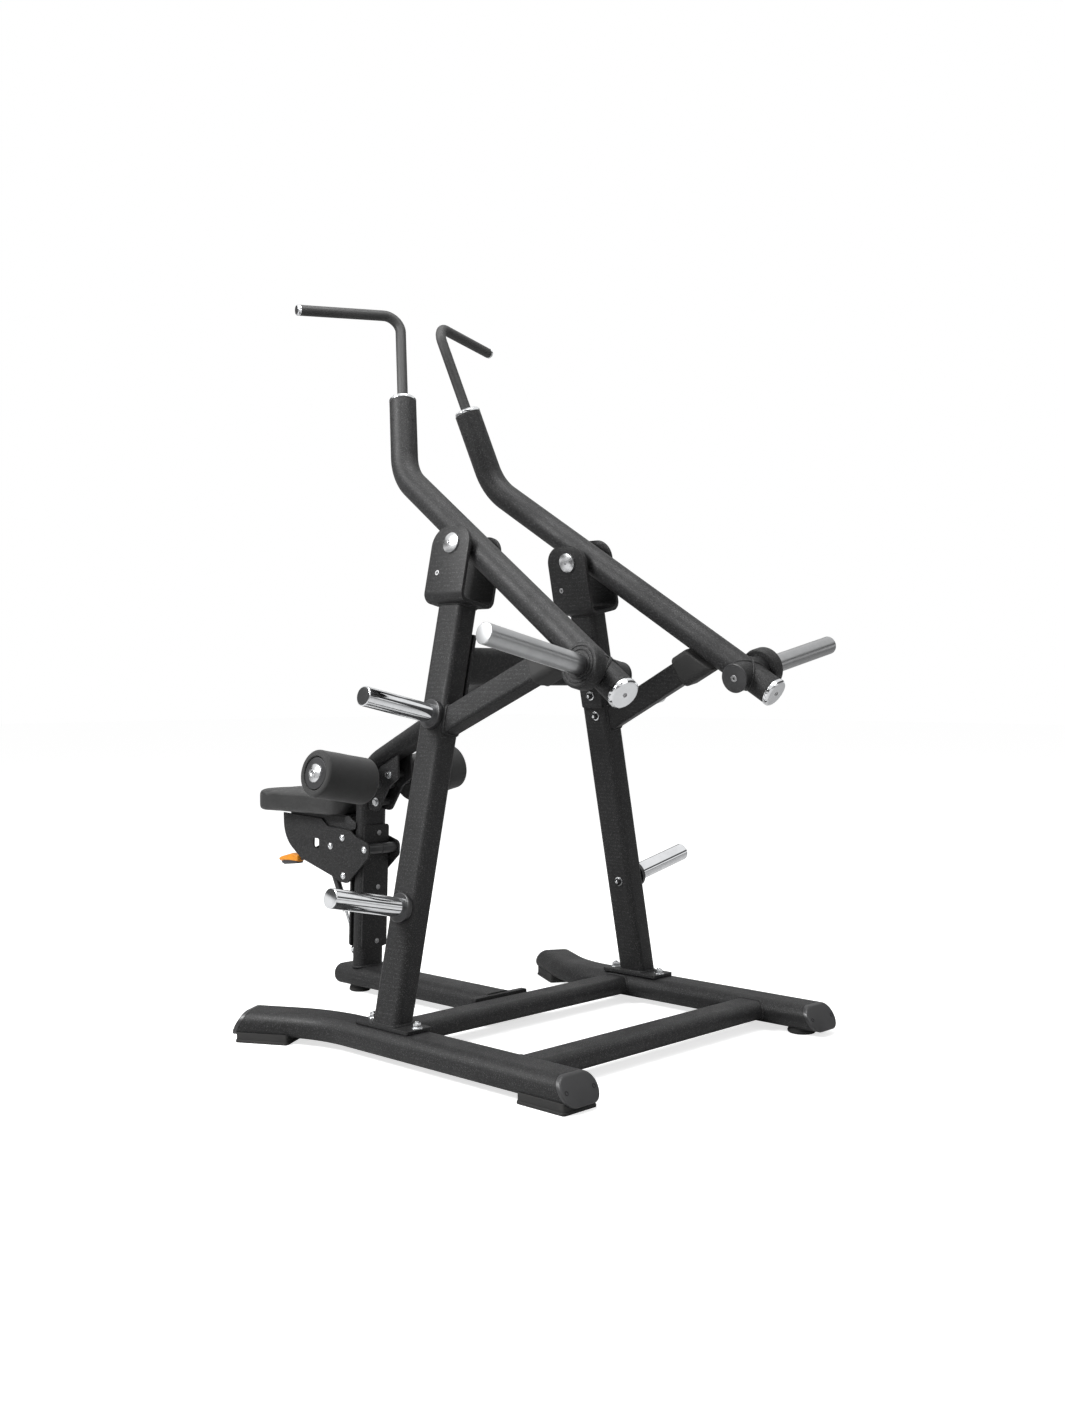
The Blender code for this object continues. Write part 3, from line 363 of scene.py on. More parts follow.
rail_corners, rail_ends = rail_line()
rail_outline = oval_outline(RAIL_W, RAIL_H)[:, ::-1]
rail_rings = swept(rail_outline, *bent_path(rail_corners, RAIL_BEND_R, 26), Z_AXIS)
cap_inset = CAP_THICK / cos(END_SLANT)
rail_rings[0] = trimmed(rail_rings[0], Y_AXIS, *slanted(rail_corners[0], Y_AXIS, cap_inset))
rail_rings[-1] = trimmed(rail_rings[-1], rail_ends[1], *slanted(rail_corners[2], rail_ends[1], cap_inset))
rail_shell = skin(rail_rings)
make("right_base_rail_tube", [rail_shell], FRAME_COAT, "frame", ["right_base_rail"])
make("left_base_rail_tube", [mirrored(rail_shell)], FRAME_COAT, "frame", ["left_base_rail"])


# ---- Rail end caps --------------------------------------------------------------------------------
# Moulded black plastic plugs that close the rails' slanted ends. The rim is softly rounded, a fine seam
# shows where it meets the tube, and two recessed screws hold each plug.

CAP_ROUND = 0.0045
CAP_SCREW_SPACING = 0.0895
CAP_SCREW_R = 0.0056
AXIS_R = 0.001            # a turned piece's faces end in a ring this small


def turned(profile, origin, axis, count=56, closed=False):
    """Solid of revolution: each (radius, distance) of the profile becomes a circle round the axis."""
    axis = unit(axis)
    first = unit(np.cross(axis, (0.31, 0.62, 0.72)))
    second = np.cross(axis, first)
    profile = np.asarray(profile, float)
    circle = disc_outline(1.0, count)
    flat = circle[:, :1] * first + circle[:, 1:] * second
    centres = np.asarray(origin, float) + profile[:, 1:] * axis
    return skin(centres[:, None] + profile[:, :1, None] * flat[None], closed)


def soft_profile(corners, steps=4):
    """Turned piece's side: an open outline of (radius, distance, rounding)."""
    return rounded_corners(corners, steps, closed=False)


def full_profile(corners, steps=4):
    """Side of a turned piece without a bore: the outline runs in to the axis at both its ends."""
    ends = [(AXIS_R, corners[0][1], 0), (AXIS_R, corners[-1][1], 0)]
    return soft_profile([ends[0], *corners, ends[1]], steps)


def plastic(name, slot, colour, roughness, relief=0.12):
    """Moulded plastic: very fine spark-erosion grain and a slightly uneven gloss."""
    material, tree, shader = new_material(name, slot, colour, roughness)
    position = node(tree, "ShaderNodeTexCoord").outputs["Object"]
    grain = placed_group(tree, GRAIN, {"Position": position, "Grains per metre": 1500.0, "Fleck share": 0.0})
    light = tuple(min(1.0, channel * 1.5 + 0.004) for channel in colour)
    tree.links.new(mixed(tree, ramp(tree, grain.outputs["Mottle"], 0.3, 0.75, 0.0, 1.0), colour, light),
                   shader.inputs["Base Color"])
    tree.links.new(ramp(tree, grain.outputs["Mottle"], 0.25, 0.75, roughness - 0.06, roughness + 0.08),
                   shader.inputs["Roughness"])
    bump = node(tree, "ShaderNodeBump", {"Height": grain.outputs["Height"], "Strength": relief,
                                         "Distance": 0.0003})
    tree.links.new(bump.outputs[0], shader.inputs["Normal"])
    return material


BLACK_PLASTIC = plastic("black_moulded_plastic", "black_plastic", (0.016, 0.016, 0.017), 0.36)
DARK_STEEL = plastic("black_oxide_screws", "black_plastic", (0.010, 0.010, 0.011), 0.42)
DARK_STEEL.node_tree.nodes["Principled BSDF"].inputs["Metallic"].default_value = 0.6


def end_cap(point, outward):
    """Plug whose outline shrinks by a quarter round at its outer rim and by a fine seam at the tube."""
    across = np.cross(outward, Z_AXIS)
    rings = []
    rim = [(-CAP_ROUND * (1 - sin(a)), CAP_ROUND * (1 - cos(a))) for a in np.linspace(0, pi / 2, 7)]
    for grow, inset in [*rim, (0.0, cap_inset - 0.0012), (-0.0008, cap_inset - 0.0006),
                        (-0.0008, cap_inset + 0.006)]:
        outline = oval_outline(RAIL_W, RAIL_H, grow)
        ring = point + across * outline[:, :1] + Z_AXIS * outline[:, 1:]
        rings.append(trimmed(ring, outward, *slanted(point, outward, inset)))
    return skin(rings), across


for end, point, outward in (("rear", rail_corners[0], rail_ends[0]),
                            ("front", rail_corners[2], rail_ends[1])):
    plug, across = end_cap(point, outward)
    face = slanted(point, outward, 0)[1]
    screws = []
    for offset in (-CAP_SCREW_SPACING / 2, CAP_SCREW_SPACING / 2):
        dish = soft_profile([(0.0008, -0.0002, 0), (CAP_SCREW_R * 0.5, -0.0002, 0.0004),
                             (CAP_SCREW_R * 0.6, 0.0006, 0.0004), (CAP_SCREW_R, 0.0006, 0.0005),
                             (CAP_SCREW_R + 0.0004, -0.001, 0)])
        screws.append(turned(dish, point + across * offset, face, 24))
    for side, name in SIDES:
        flip = (lambda shell: shell) if side > 0 else mirrored
        make(f"{name}_{end}_rail_plug", [flip(plug)], BLACK_PLASTIC, "frame", [f"{name}_{end}_end_cap"])
        make(f"{name}_{end}_plug_screws", [flip(screw) for screw in screws], DARK_STEEL, "frame")


# ---- Rubber feet ----------------------------------------------------------------------------------
# Moulded rubber blocks under three rail ends, and turned rubber feet under the left rear end and the
# centre tube. All are matte, with a pale bloom in broad patches, and have a chamfered sole.

PAD_W = 0.1115
PAD_L = 0.148
PAD_H = 0.027
PAD_END = 0.002


def rubber_finish():
    """Matte rubber: dark, with a pale bloom in broad patches and a fine moulded grain."""
    material, tree, shader = new_material("black_rubber", "rubber", (0.012, 0.012, 0.012), 0.75)
    position = node(tree, "ShaderNodeTexCoord").outputs["Object"]
    grain = placed_group(tree, GRAIN, {"Position": position, "Grains per metre": 900.0, "Fleck share": 0.0})
    bloom = ramp(tree, grain.outputs["Mottle"], 0.4, 0.75, 0.0, 1.0)
    tree.links.new(mixed(tree, bloom, (0.011, 0.011, 0.011), (0.026, 0.025, 0.024)),
                   shader.inputs["Base Color"])
    tree.links.new(ramp(tree, grain.outputs["Mottle"], 0.3, 0.7, 0.66, 0.84), shader.inputs["Roughness"])
    bump = node(tree, "ShaderNodeBump", {"Height": grain.outputs["Height"], "Strength": 0.3,
                                         "Distance": 0.0004})
    tree.links.new(bump.outputs[0], shader.inputs["Normal"])
    return material


RUBBER = rubber_finish()


def prism(outline_of, origin, first, second, start, end, edge, steps=4):
    """Outline carried straight along first x second, with a quarter round of radius edge at both rims."""
    first = np.asarray(first, float)
    second = np.asarray(second, float)
    axis = unit(np.cross(first, second))
    quarter = np.linspace(0, pi / 2, steps + 1)
    stations = [(-edge * (1 - sin(a)), start + edge * (1 - cos(a))) for a in quarter]
    stations += [(-edge * (1 - sin(a)), end - edge * (1 - cos(a))) for a in quarter[::-1]]
    rings = []
    for grow, distance in stations:
        outline = outline_of(grow)
        rings.append(np.asarray(origin) + axis * distance + first * outline[:, :1] + second * outline[:, 1:])
    return skin(rings)


def pad_block(point, outward):
    """Block under a rail's end: a tall rounded box, and a slightly wider sole lip at the floor."""
    across = np.cross(outward, Z_AXIS)
    centre = np.array((point[0], point[1], 0)) + outward * (PAD_END - PAD_L / 2)
    body = prism(lambda grow: box_outline(PAD_W - 0.004, PAD_L - 0.004, 0.006, grow), centre, across, outward,
                 0.004, PAD_H, 0.0015)
    sole = prism(lambda grow: box_outline(PAD_W, PAD_L, 0.008, grow), centre, across, outward, 0.0, 0.0075,
                 0.0015)
    return [body, sole]


make("right_rear_rubber_pad", pad_block(rail_corners[0], Y_AXIS), RUBBER, "frame", ["right_rear_pad"])
front_pad = pad_block(rail_corners[2], rail_ends[1])
make("right_front_rubber_pad", front_pad, RUBBER, "frame", ["right_front_pad"])
make("left_front_rubber_pad", [mirrored(shell) for shell in front_pad], RUBBER, "frame", ["left_front_pad"])

for name, node_name in (("left_rear_round_foot", "left_rear_foot"), ("centre_round_foot", "centre_foot")):
    low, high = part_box(node_name)
    radius = (high.x - low.x) / 2
    middle = (np.array(low) + np.array(high)) / 2
    profile = full_profile([(radius - 0.003, 0, 0.001), (radius, 0.003, 0.001),
                            (radius, high.z * 0.55, 0.001), (radius - 0.002, high.z * 0.62, 0.0008),
                            (radius - 0.002, high.z + 0.002, 0.001)])
    make(name, [turned(profile, (middle[0], middle[1], 0), Z_AXIS)], RUBBER, "frame", [node_name])


# ---- Cross tubes ----------------------------------------------------------------------------------
# Flat-oval tubes welded between the rails, and the centre tube that reaches forward under the seat. A
# pair of flange plates, held by a bolt at each side, joins the centre tube to the middle cross tube.

CROSS_W = 0.100
CROSS_H = 0.050
CROSS_Z = 0.050
CROSS_YS = {"mid_cross_tube": -0.050, "rear_cross_tube": 0.430}
CENTRE_W = 0.120
CENTRE_H = 0.060
CENTRE_Z = 0.052
CENTRE_FRONT_Y = -0.765
FLANGE_W = 0.201
FLANGE_LOW = 0.024
FLANGE_TOP = 0.079
FLANGE_T = 0.010
FLANGE_Y = -0.108
BEAD = 0.0034


def weld(path, radius=BEAD, pitch=0.0042):
    """Weld bead along a closed path: a thin round cord whose thickness ripples once every pitch."""
    path = np.asarray(path, float)
    steps = np.linalg.norm(np.roll(path, -1, axis=0) - path, axis=1)
    length = np.concatenate([[0], np.cumsum(steps)])
    count = max(24, int(length[-1] / (pitch / 5)))
    along = np.linspace(0, length[-1], count, endpoint=False)
    looped = np.concatenate([path, path[:1]])
    points = np.stack([np.interp(along, length, looped[:, k]) for k in range(3)], -1)
    heading = np.roll(points, -1, axis=0) - np.roll(points, 1, axis=0)
    heading /= np.linalg.norm(heading, axis=1)[:, None]
    first = np.cross(heading, points - points.mean(axis=0))
    first /= np.maximum(np.linalg.norm(first, axis=1), 1e-9)[:, None]
    second = np.cross(heading, first)
    thick = radius * (1 + 0.10 * np.abs(np.sin(pi * along / pitch)) - 0.05)
    circle = disc_outline(1.0, 8)
    rings = points[:, None] + thick[:, None, None] * (first[:, None] * circle[None, :,
                                                                              :1] + second[:, None]
                                                      * circle[None, :, 1:])
    return skin(rings, closed=True)


def hex_outline(across_flats, grow=0.0):
    reach = (across_flats / 2 + grow) / cos(pi / 6)
    turns = np.arange(6) * pi / 3
    return np.stack([reach * np.cos(turns), reach * np.sin(turns)], -1)


def hex_bolt(origin, axis, across_flats=0.017, head=0.0075, washer=True):
    """Hexagon head with chamfered corners on a plain washer."""
    axis = unit(axis)
    first = unit(np.cross(axis, (0.2, 0.9, 0.4)))
    second = np.cross(axis, first)
    shells = []
    lift = 0.0
    if washer:
        reach = across_flats * 0.78
        ring = full_profile([(reach, -0.0005, 0), (reach, 0.0018, 0.0006)])
        shells.append(turned(ring, origin, axis, 32))
        lift = 0.0016
    shells.append(prism(lambda grow: hex_outline(across_flats, grow), origin, first, second, lift,
                        lift + head, 0.0009, 2))
    top = soft_profile([(0.0008, 0, 0), (across_flats * 0.40, 0, 0), (across_flats * 0.44, 0.0, 0),
                        (across_flats * 0.40, 0.0006, 0.0003), (0.0008, 0.0006, 0)])
    shells.append(turned(top, np.asarray(origin) + axis * (lift + head - 0.0002), axis, 24))
    return shells


def plated_steel(name, slot, colour, roughness):
    """Bright plating: faint smudges in the gloss and very fine hairlines."""
    material, tree, shader = new_material(name, slot, colour, roughness, 1.0)
    position = node(tree, "ShaderNodeTexCoord").outputs["Object"]
    smudge = node(tree, "ShaderNodeTexNoise", {"Vector": position, "Scale": 26.0, "Detail": 4.0,
                                               "Roughness": 0.6}).outputs[0]
    tree.links.new(ramp(tree, smudge, 0.35, 0.75, roughness, roughness + 0.07), shader.inputs["Roughness"])
    dimmer = tuple(channel * 0.9 for channel in colour)
    tree.links.new(mixed(tree, ramp(tree, smudge, 0.3, 0.7, 0.0, 1.0), colour, dimmer),
                   shader.inputs["Base Color"])
    hair = node(tree, "ShaderNodeTexNoise", {"Vector": position, "Scale": 800.0, "Detail": 1.0})
    bump = node(tree, "ShaderNodeBump", {"Height": hair.outputs[0], "Strength": 0.006, "Distance": 0.0001})
    tree.links.new(bump.outputs[0], shader.inputs["Normal"])
    return material


ZINC = plated_steel("zinc_plated_bolts", "chrome", (0.62, 0.63, 0.64), 0.24)
DULL_ZINC = plated_steel("dull_zinc_screws", "satin_steel", (0.33, 0.33, 0.335), 0.42)

for tube_name, tube_y in CROSS_YS.items():
    reach = RAIL_X - RAIL_W / 2 + RAIL_H / 2
    outline = oval_outline(CROSS_W, CROSS_H)
    ends = in_machine([(-reach, tube_y, CROSS_Z), (reach, tube_y, CROSS_Z)])
    shells = [skin(ends[:, None] + Y_AXIS * outline[None, :, :1] + Z_AXIS * outline[None, :, 1:])]
    for side in (1, -1):
        drop = outline[:, 1] + CROSS_Z - RAIL_Z
        meet = reach - np.sqrt(np.maximum((RAIL_H / 2) ** 2 - drop ** 2, 0))
        path = np.stack([side * meet, outline[:, 0] + tube_y, outline[:, 1] + CROSS_Z], -1)
        shells.append(weld(in_machine(path)))
    if tube_name == "mid_cross_tube":
        plate = prism(lambda grow: box_outline(FLANGE_W, FLANGE_TOP - FLANGE_LOW, 0.004, grow),
                      in_machine((0, FLANGE_Y + FLANGE_T, (FLANGE_LOW + FLANGE_TOP) / 2)), X_AXIS, Z_AXIS,
                      0.0003, FLANGE_T, 0.0012)
        shells.append(plate)
    make(f"{tube_name}_welded", shells, FRAME_COAT, "frame", [tube_name])

centre_rings = []
for grow, y in [(-0.004 * (1 - sin(a)), CENTRE_FRONT_Y + 0.004 * (1 - cos(a)))
                for a in np.linspace(0, pi / 2, 6)] + [(0, FLANGE_Y - 0.005)]:
    outline = oval_outline(CENTRE_W, CENTRE_H, grow)
    centre_rings.append(in_machine((0, y, CENTRE_Z)) - X_AXIS * outline[:, :1] + Z_AXIS * outline[:, 1:])
flange_plate = prism(lambda grow: box_outline(FLANGE_W, FLANGE_TOP - FLANGE_LOW, 0.004, grow),
                     in_machine((0, FLANGE_Y, (FLANGE_LOW + FLANGE_TOP) / 2)), X_AXIS, Z_AXIS, 0.0, FLANGE_T,
                     0.0012)
make("centre_tube_welded", [skin(centre_rings), flange_plate], FRAME_COAT, "frame", ["centre_base_tube"])

flange_bolts = []
for x in (-0.084, 0.084):
    spot = in_machine((x, FLANGE_Y - FLANGE_T, 0.0515))
    flange_bolts += hex_bolt(spot, -Y_AXIS, 0.017, 0.009)
make("centre_flange_bolts", flange_bolts, ZINC, "frame")


# ---- Posts ----------------------------------------------------------------------------------------
# Two leaning box tubes on foot plates, powder coated. Each post is cut level at its foot, welded to its
# plate, and the plate is bolted down on the rail in front of the post and behind it.

PIVOT = np.array(joints["right_arm_swing"]["pos_m"])
OUT = np.array(joints["right_arm_swing"]["axis"])      # outward, square to the right side's plane
RISE = np.cross(OUT, Y_AXIS)
PIVOT_U = 1.217
POST_W = 0.066
POST_D = 0.090
POST_CORNER = 0.016
POST_Y = -0.0055
PLATE_FOOT_X = 0.4765
PLATE_FOOT_W = 0.082
PLATE_FOOT_L = 0.200
PLATE_FOOT_T = 0.010
FOOT_BOLT_X = 0.472
FOOT_BOLT_YS = (-0.085, 0.080)
CLEVIS_U = PIVOT_U - 0.154
in_side = frame_at(PIVOT - RISE * PIVOT_U, OUT, Y_AXIS, RISE)


def pair(name, shells, material, body="frame", stands_for=()):
    """The same piece on both sides of the machine. SIDE in the body's name becomes right or left."""
    made = []
    for side, hand in SIDES:
        own = shells if side > 0 else [mirrored(shell) for shell in shells]
        nodes = [f"{hand}_{other}" for other in stands_for]
        made.append(make(f"{hand}_{name}", own, material, body.replace("SIDE", hand), nodes))
    return made


rail_top = RAIL_Z + RAIL_H / 2
plate_top = rail_top + PLATE_FOOT_T
post_outline = box_outline(POST_W, POST_D, POST_CORNER, steps=8)
low_ring = in_side(np.stack([post_outline[:, 0], post_outline[:, 1] + POST_Y,
                             np.full(len(post_outline), 0.2)], -1))
high_ring = in_side(np.stack([post_outline[:, 0], post_outline[:, 1] + POST_Y,
                              np.full(len(post_outline), CLEVIS_U)], -1))
foot_ring = trimmed(low_ring, RISE, (0, 0, plate_top - 0.002), Z_AXIS)
foot_weld = trimmed(low_ring, RISE, (0, 0, plate_top + 0.0006), Z_AXIS)
foot_plate = prism(lambda grow: box_outline(PLATE_FOOT_W, PLATE_FOOT_L, 0.006, grow),
                   in_machine((PLATE_FOOT_X, POST_Y, rail_top)), X_AXIS, Y_AXIS, 0.0, PLATE_FOOT_T, 0.0012)
post_shells = [skin([foot_ring, high_ring]), foot_plate, weld(foot_weld, 0.0042),
               weld(high_ring - RISE * 0.0008, 0.0036)]
pair("post_welded", post_shells, FRAME_COAT, stands_for=["post"])

foot_bolts = []
for y in FOOT_BOLT_YS:
    foot_bolts += hex_bolt(in_machine((FOOT_BOLT_X, y, plate_top)), Z_AXIS, 0.019, 0.011)
    stud = full_profile([(0.0052, 0, 0), (0.0052, 0.0165, 0.0008)])
    foot_bolts.append(turned(stud, in_machine((FOOT_BOLT_X, y, plate_top)), Z_AXIS, 24))
pair("post_foot_bolts", foot_bolts, ZINC)


# ---- Upper cross member ---------------------------------------------------------------------------
# A flat-oval tube standing on edge between the posts, with a welded end flange bolted to each post's
# inner face. The heads of the storage horns' bolts show on the same faces.

CROSS_MEMBER_Z = 0.9845
FLANGE_US = (0.795, 0.995)
FLANGE_D = 0.076
STORAGE_US = {"lower": 0.275, "upper": 0.770}

inner_face = -POST_W / 2
section = oval_outline(CROSS_W, CROSS_H)[:, ::-1]
across_ring = in_machine(np.stack([np.zeros(len(section)), section[:, 0], section[:, 1] + CROSS_MEMBER_Z],
                                  -1))
face_point = in_side((inner_face - PLATE_FOOT_T / 2, 0, 0.9))
end_ring = trimmed(across_ring, X_AXIS, face_point, OUT)
member_weld = trimmed(across_ring, X_AXIS, in_side((inner_face - PLATE_FOOT_T - 0.0008, 0, 0.9)), OUT)
flange_middle = in_side((inner_face, 0, sum(FLANGE_US) / 2))
end_flange = prism(lambda grow: box_outline(FLANGE_D, FLANGE_US[1] - FLANGE_US[0], 0.006, grow),
                   flange_middle, -Y_AXIS, RISE, 0.0003, PLATE_FOOT_T, 0.0012)
end_weld = weld(member_weld, 0.0040)
member_shells = [skin([mirrored((end_ring, 0, 0))[0], end_ring]), end_flange, mirrored(end_flange), end_weld,
                 mirrored(end_weld)]
make("upper_cross_member_welded", member_shells, FRAME_COAT, "frame", ["upper_cross_member"])

inner_bolts = []
inner_rings = []
for n, u in ((inner_face - PLATE_FOOT_T, FLANGE_US[0] + 0.036),
             (inner_face - PLATE_FOOT_T, FLANGE_US[1] - 0.020),
             (inner_face, STORAGE_US["lower"]), (inner_face, STORAGE_US["upper"])):
    spot = in_side((n, 0, u))
    inner_bolts += hex_bolt(spot, -OUT, 0.017, 0.009, washer=False)
    washer = full_profile([(0.0132, -0.0005, 0), (0.0132, 0.0020, 0.0006)])
    stud = full_profile([(0.0046, 0, 0), (0.0046, 0.0125, 0.0010)])
    inner_rings += [turned(washer, spot, -OUT, 32), turned(stud, spot, -OUT, 24)]
pair("post_inner_bolts", inner_bolts, DARK_STEEL)
pair("post_inner_washers", inner_rings, ZINC)


# ---- Storage horns --------------------------------------------------------------------------------
# Polished chrome bars on the outside of each post, closed and softly rounded at the tip, with a black
# plastic collar at the root.

STORAGE_R = 0.025
STORAGE_TIP = 0.267
STORAGE_FLANGE_R = 0.038
STORAGE_FLANGE_T = 0.013

CHROME = plated_steel("polished_chrome", "chrome", (0.74, 0.75, 0.765), 0.06)
SOFT_CHROME = plated_steel("soft_chrome_domes", "chrome", (0.60, 0.605, 0.615), 0.24)

for level, u in STORAGE_US.items():
    root = in_side((POST_W / 2, 0, u))
    reach = STORAGE_TIP - POST_W / 2
    horn = full_profile([(STORAGE_R, 0.0005, 0), (STORAGE_R, reach, 0.0024)], 6)
    pair(f"{level}_storage_horn_tube", [turned(horn, root, OUT, 72)], CHROME,
         stands_for=[f"{level}_storage_horn"])
    collar = soft_profile([(STORAGE_R - 0.001, 0.0003, 0), (STORAGE_FLANGE_R, 0.0003, 0.0006),
                           (STORAGE_FLANGE_R, STORAGE_FLANGE_T, 0.003),
                           (STORAGE_R - 0.001, STORAGE_FLANGE_T, 0)], 5)
    pair(f"{level}_storage_horn_collar", [turned(collar, root, OUT, 72, closed=True)], BLACK_PLASTIC)


# ---- Clevises -------------------------------------------------------------------------------------
# Bent steel channels on top of the posts, with rounded upper corners. A polished pivot shaft with domed
# heads crosses each one, and a flush set screw sits in front of the pivot.

GAP = 0.0003              # pieces that meet stop this short of each other
CLEVIS_H = 0.200
CLEVIS_W = 0.120
CLEVIS_D = 0.142
CLEVIS_T = 0.010
CLEVIS_FOOT_R = 0.025
CLEVIS_TOP_R = 0.050
PIVOT_R = 0.0125
PIVOT_HEAD_R = 0.028
PIVOT_HEAD_H = 0.011


def clevis_shell():
    """Channel: a thin rounded box carried down one cheek, along the floor and up the other.

    Near each top the box narrows by a quarter circle, which rounds the cheek's upper corners."""
    top = CLEVIS_U + CLEVIS_H
    reach = CLEVIS_W / 2 - CLEVIS_T / 2
    floor = CLEVIS_U + CLEVIS_T / 2
    drop = top - CLEVIS_TOP_R + CLEVIS_TOP_R * np.sin(np.linspace(pi / 2, 0, 18))
    centres, headings = bent_path([(reach, 0, drop[-1]), (reach, 0, floor), (-reach, 0, floor),
                                   (-reach, 0, drop[-1])], CLEVIS_FOOT_R - CLEVIS_T / 2, 10)
    down = np.stack([np.full(18, reach), np.zeros(18), drop], -1)[:-1]
    centres = np.concatenate([down, centres, (down * (-1, 1, 1))[::-1]])
    headings = np.concatenate([np.tile((0, 0, -1.0), (17, 1)), headings, np.tile((0, 0, 1.0), (17, 1))])
    high = np.clip((centres[:, 2] - (top - CLEVIS_TOP_R)) / CLEVIS_TOP_R, 0, 1)
    half = CLEVIS_D / 2 - CLEVIS_TOP_R * (1 - np.sqrt(1 - high ** 2))
    rings = []
    last = len(centres) - 1
    for i, (centre, heading, reach) in enumerate(zip(centres, headings, half)):
        thin = 0.0012 if i in (0, last) else 0.0
        outline = box_outline(2 * reach, CLEVIS_T, 0.0016, -thin, 3)
        side = np.cross(heading, Y_AXIS)
        rings.append(in_side(centre + (0, POST_Y, 0) + Y_AXIS * outline[:, :1] + side * outline[:, 1:]))
    return skin(rings)


pair("clevis_channel", [clevis_shell()], FRAME_COAT, stands_for=["clevis"])

pivot_shells = [turned([(0.001, -CLEVIS_W / 2), (PIVOT_R, -CLEVIS_W / 2), (PIVOT_R, CLEVIS_W / 2),
                        (0.001, CLEVIS_W / 2)], PIVOT, OUT, 48)]
dome = soft_profile([(AXIS_R, 0, 0), (PIVOT_HEAD_R, 0, 0.0004), (PIVOT_HEAD_R, 0.0044, 0.0012)], 5)
crown = np.linspace(PIVOT_HEAD_R - 0.0012, 0.0036, 16)
crown = np.stack([crown, 0.0044 + (PIVOT_HEAD_H - 0.0044) * (1 - (crown / PIVOT_HEAD_R) ** 2)], -1)
dome = np.concatenate([dome[:-1], crown, [(0.0030, PIVOT_HEAD_H - GAP), (0.0030, PIVOT_HEAD_H - 0.005),
                                          (0.001, PIVOT_HEAD_H - 0.005)]])
pivot_shells += [turned(dome, PIVOT + OUT * CLEVIS_W / 2, OUT, 72),
                 turned(dome, PIVOT - OUT * CLEVIS_W / 2, -OUT, 72)]
pair("pivot_pin", pivot_shells, SOFT_CHROME, stands_for=["pivot_shaft"])

SET_SCREW_AT = (-0.038, 1.139)      # along Y and up the side's plane
stop_screws = []
socket_head = full_profile([(0.0072, -0.001, 0), (0.0072, 0.0012, 0.0005), (0.0030, 0.0012, 0.0003),
                            (0.0030, -0.0004, 0)], 4)
for sign in (1, -1):
    stop_screws.append(turned(socket_head, in_side((sign * CLEVIS_W / 2, *SET_SCREW_AT)), OUT * sign, 40))
pair("clevis_stop_screws", stop_screws, DULL_ZINC)


# ---- Stop arms ------------------------------------------------------------------------------------
# Rectangular tubes welded to the rear of the posts, rising to meet the underside of each arm. A moulded
# rubber sleeve with softly rounded corners slips over each end as the bumper.

STOP_U = PIVOT_U - 0.476
STOP_RISE = radians(25.7)
STOP_W = 0.052
STOP_D = 0.064
STOP_CORNER = 0.008
SLEEVE_W = 0.072
SLEEVE_D = 0.088
SLEEVE_CORNER = 0.018
SLEEVE_START = 0.350
ARM_R = 0.038
ARM_SLOPE = radians(34.2)
PIVOT_DROP = 0.020

STOP_AXIS = Y_AXIS * cos(STOP_RISE) + RISE * sin(STOP_RISE)
STOP_UP = RISE * cos(STOP_RISE) - Y_AXIS * sin(STOP_RISE)
ARM_BACK = Y_AXIS * cos(ARM_SLOPE) - RISE * sin(ARM_SLOPE)
ARM_UP = Y_AXIS * sin(ARM_SLOPE) + RISE * cos(ARM_SLOPE)
stop_root = in_side((0, 0, STOP_U))


def stop_ring(width, depth, corner, grow, distance):
    outline = box_outline(width, depth, corner, grow, 8)
    return stop_root + STOP_AXIS * distance + OUT * outline[:, :1] + STOP_UP * outline[:, 1:]


rear_face = in_side((0, POST_Y + POST_D / 2, STOP_U))
stop_foot = trimmed(stop_ring(STOP_W, STOP_D, STOP_CORNER, 0, 0.1), STOP_AXIS, rear_face - Y_AXIS * 0.001,
                    Y_AXIS)
stop_weld = trimmed(stop_ring(STOP_W, STOP_D, STOP_CORNER, 0, 0.1), STOP_AXIS, rear_face + Y_AXIS * 0.001,
                    Y_AXIS)
stop_tube = skin([stop_foot, stop_ring(STOP_W, STOP_D, STOP_CORNER, 0, 0.37)])
pair("stop_arm_welded", [stop_tube, weld(stop_weld, 0.0040)], FRAME_COAT, stands_for=["stop_arm"])

under_arm = PIVOT + ARM_UP * (PIVOT_DROP - ARM_R - GAP)
sleeve_rings = []
for angle in np.linspace(0, pi / 2, 6):
    sleeve_rings.append(stop_ring(SLEEVE_W, SLEEVE_D, SLEEVE_CORNER, -0.005 * (1 - sin(angle)),
                                  SLEEVE_START + 0.005 * (1 - cos(angle))))
for angle in np.linspace(pi / 2, 0, 7):
    ring = stop_ring(SLEEVE_W, SLEEVE_D, SLEEVE_CORNER, -0.006 * (1 - sin(angle)), 0.4)
    sleeve_rings.append(trimmed(ring, STOP_AXIS, under_arm - ARM_UP * 0.006 * (1 - cos(angle)), ARM_UP))
pair("stop_arm_sleeve", [skin(sleeve_rings)], RUBBER, stands_for=["stop_sleeve"])


# ---- Arms -----------------------------------------------------------------------------------------
# Thick round tubes bent once over the pivot, powder coated like the frame, each with a short cross tube
# welded through its rear part for the weight horn and a boss for the pivot shaft.

ARM_REAR = 0.703
ARM_FRONT = 0.382
ARM_BEND_R = 0.160
UPPER_LENGTH = 0.2326
UPPER_LEAN = radians(15.6)
BOSS_R = 0.028
BOSS_HALF = 0.049
HUB_FROM_PIVOT = 0.621
HUB_IN = 0.060
HUB_OUT = 0.046

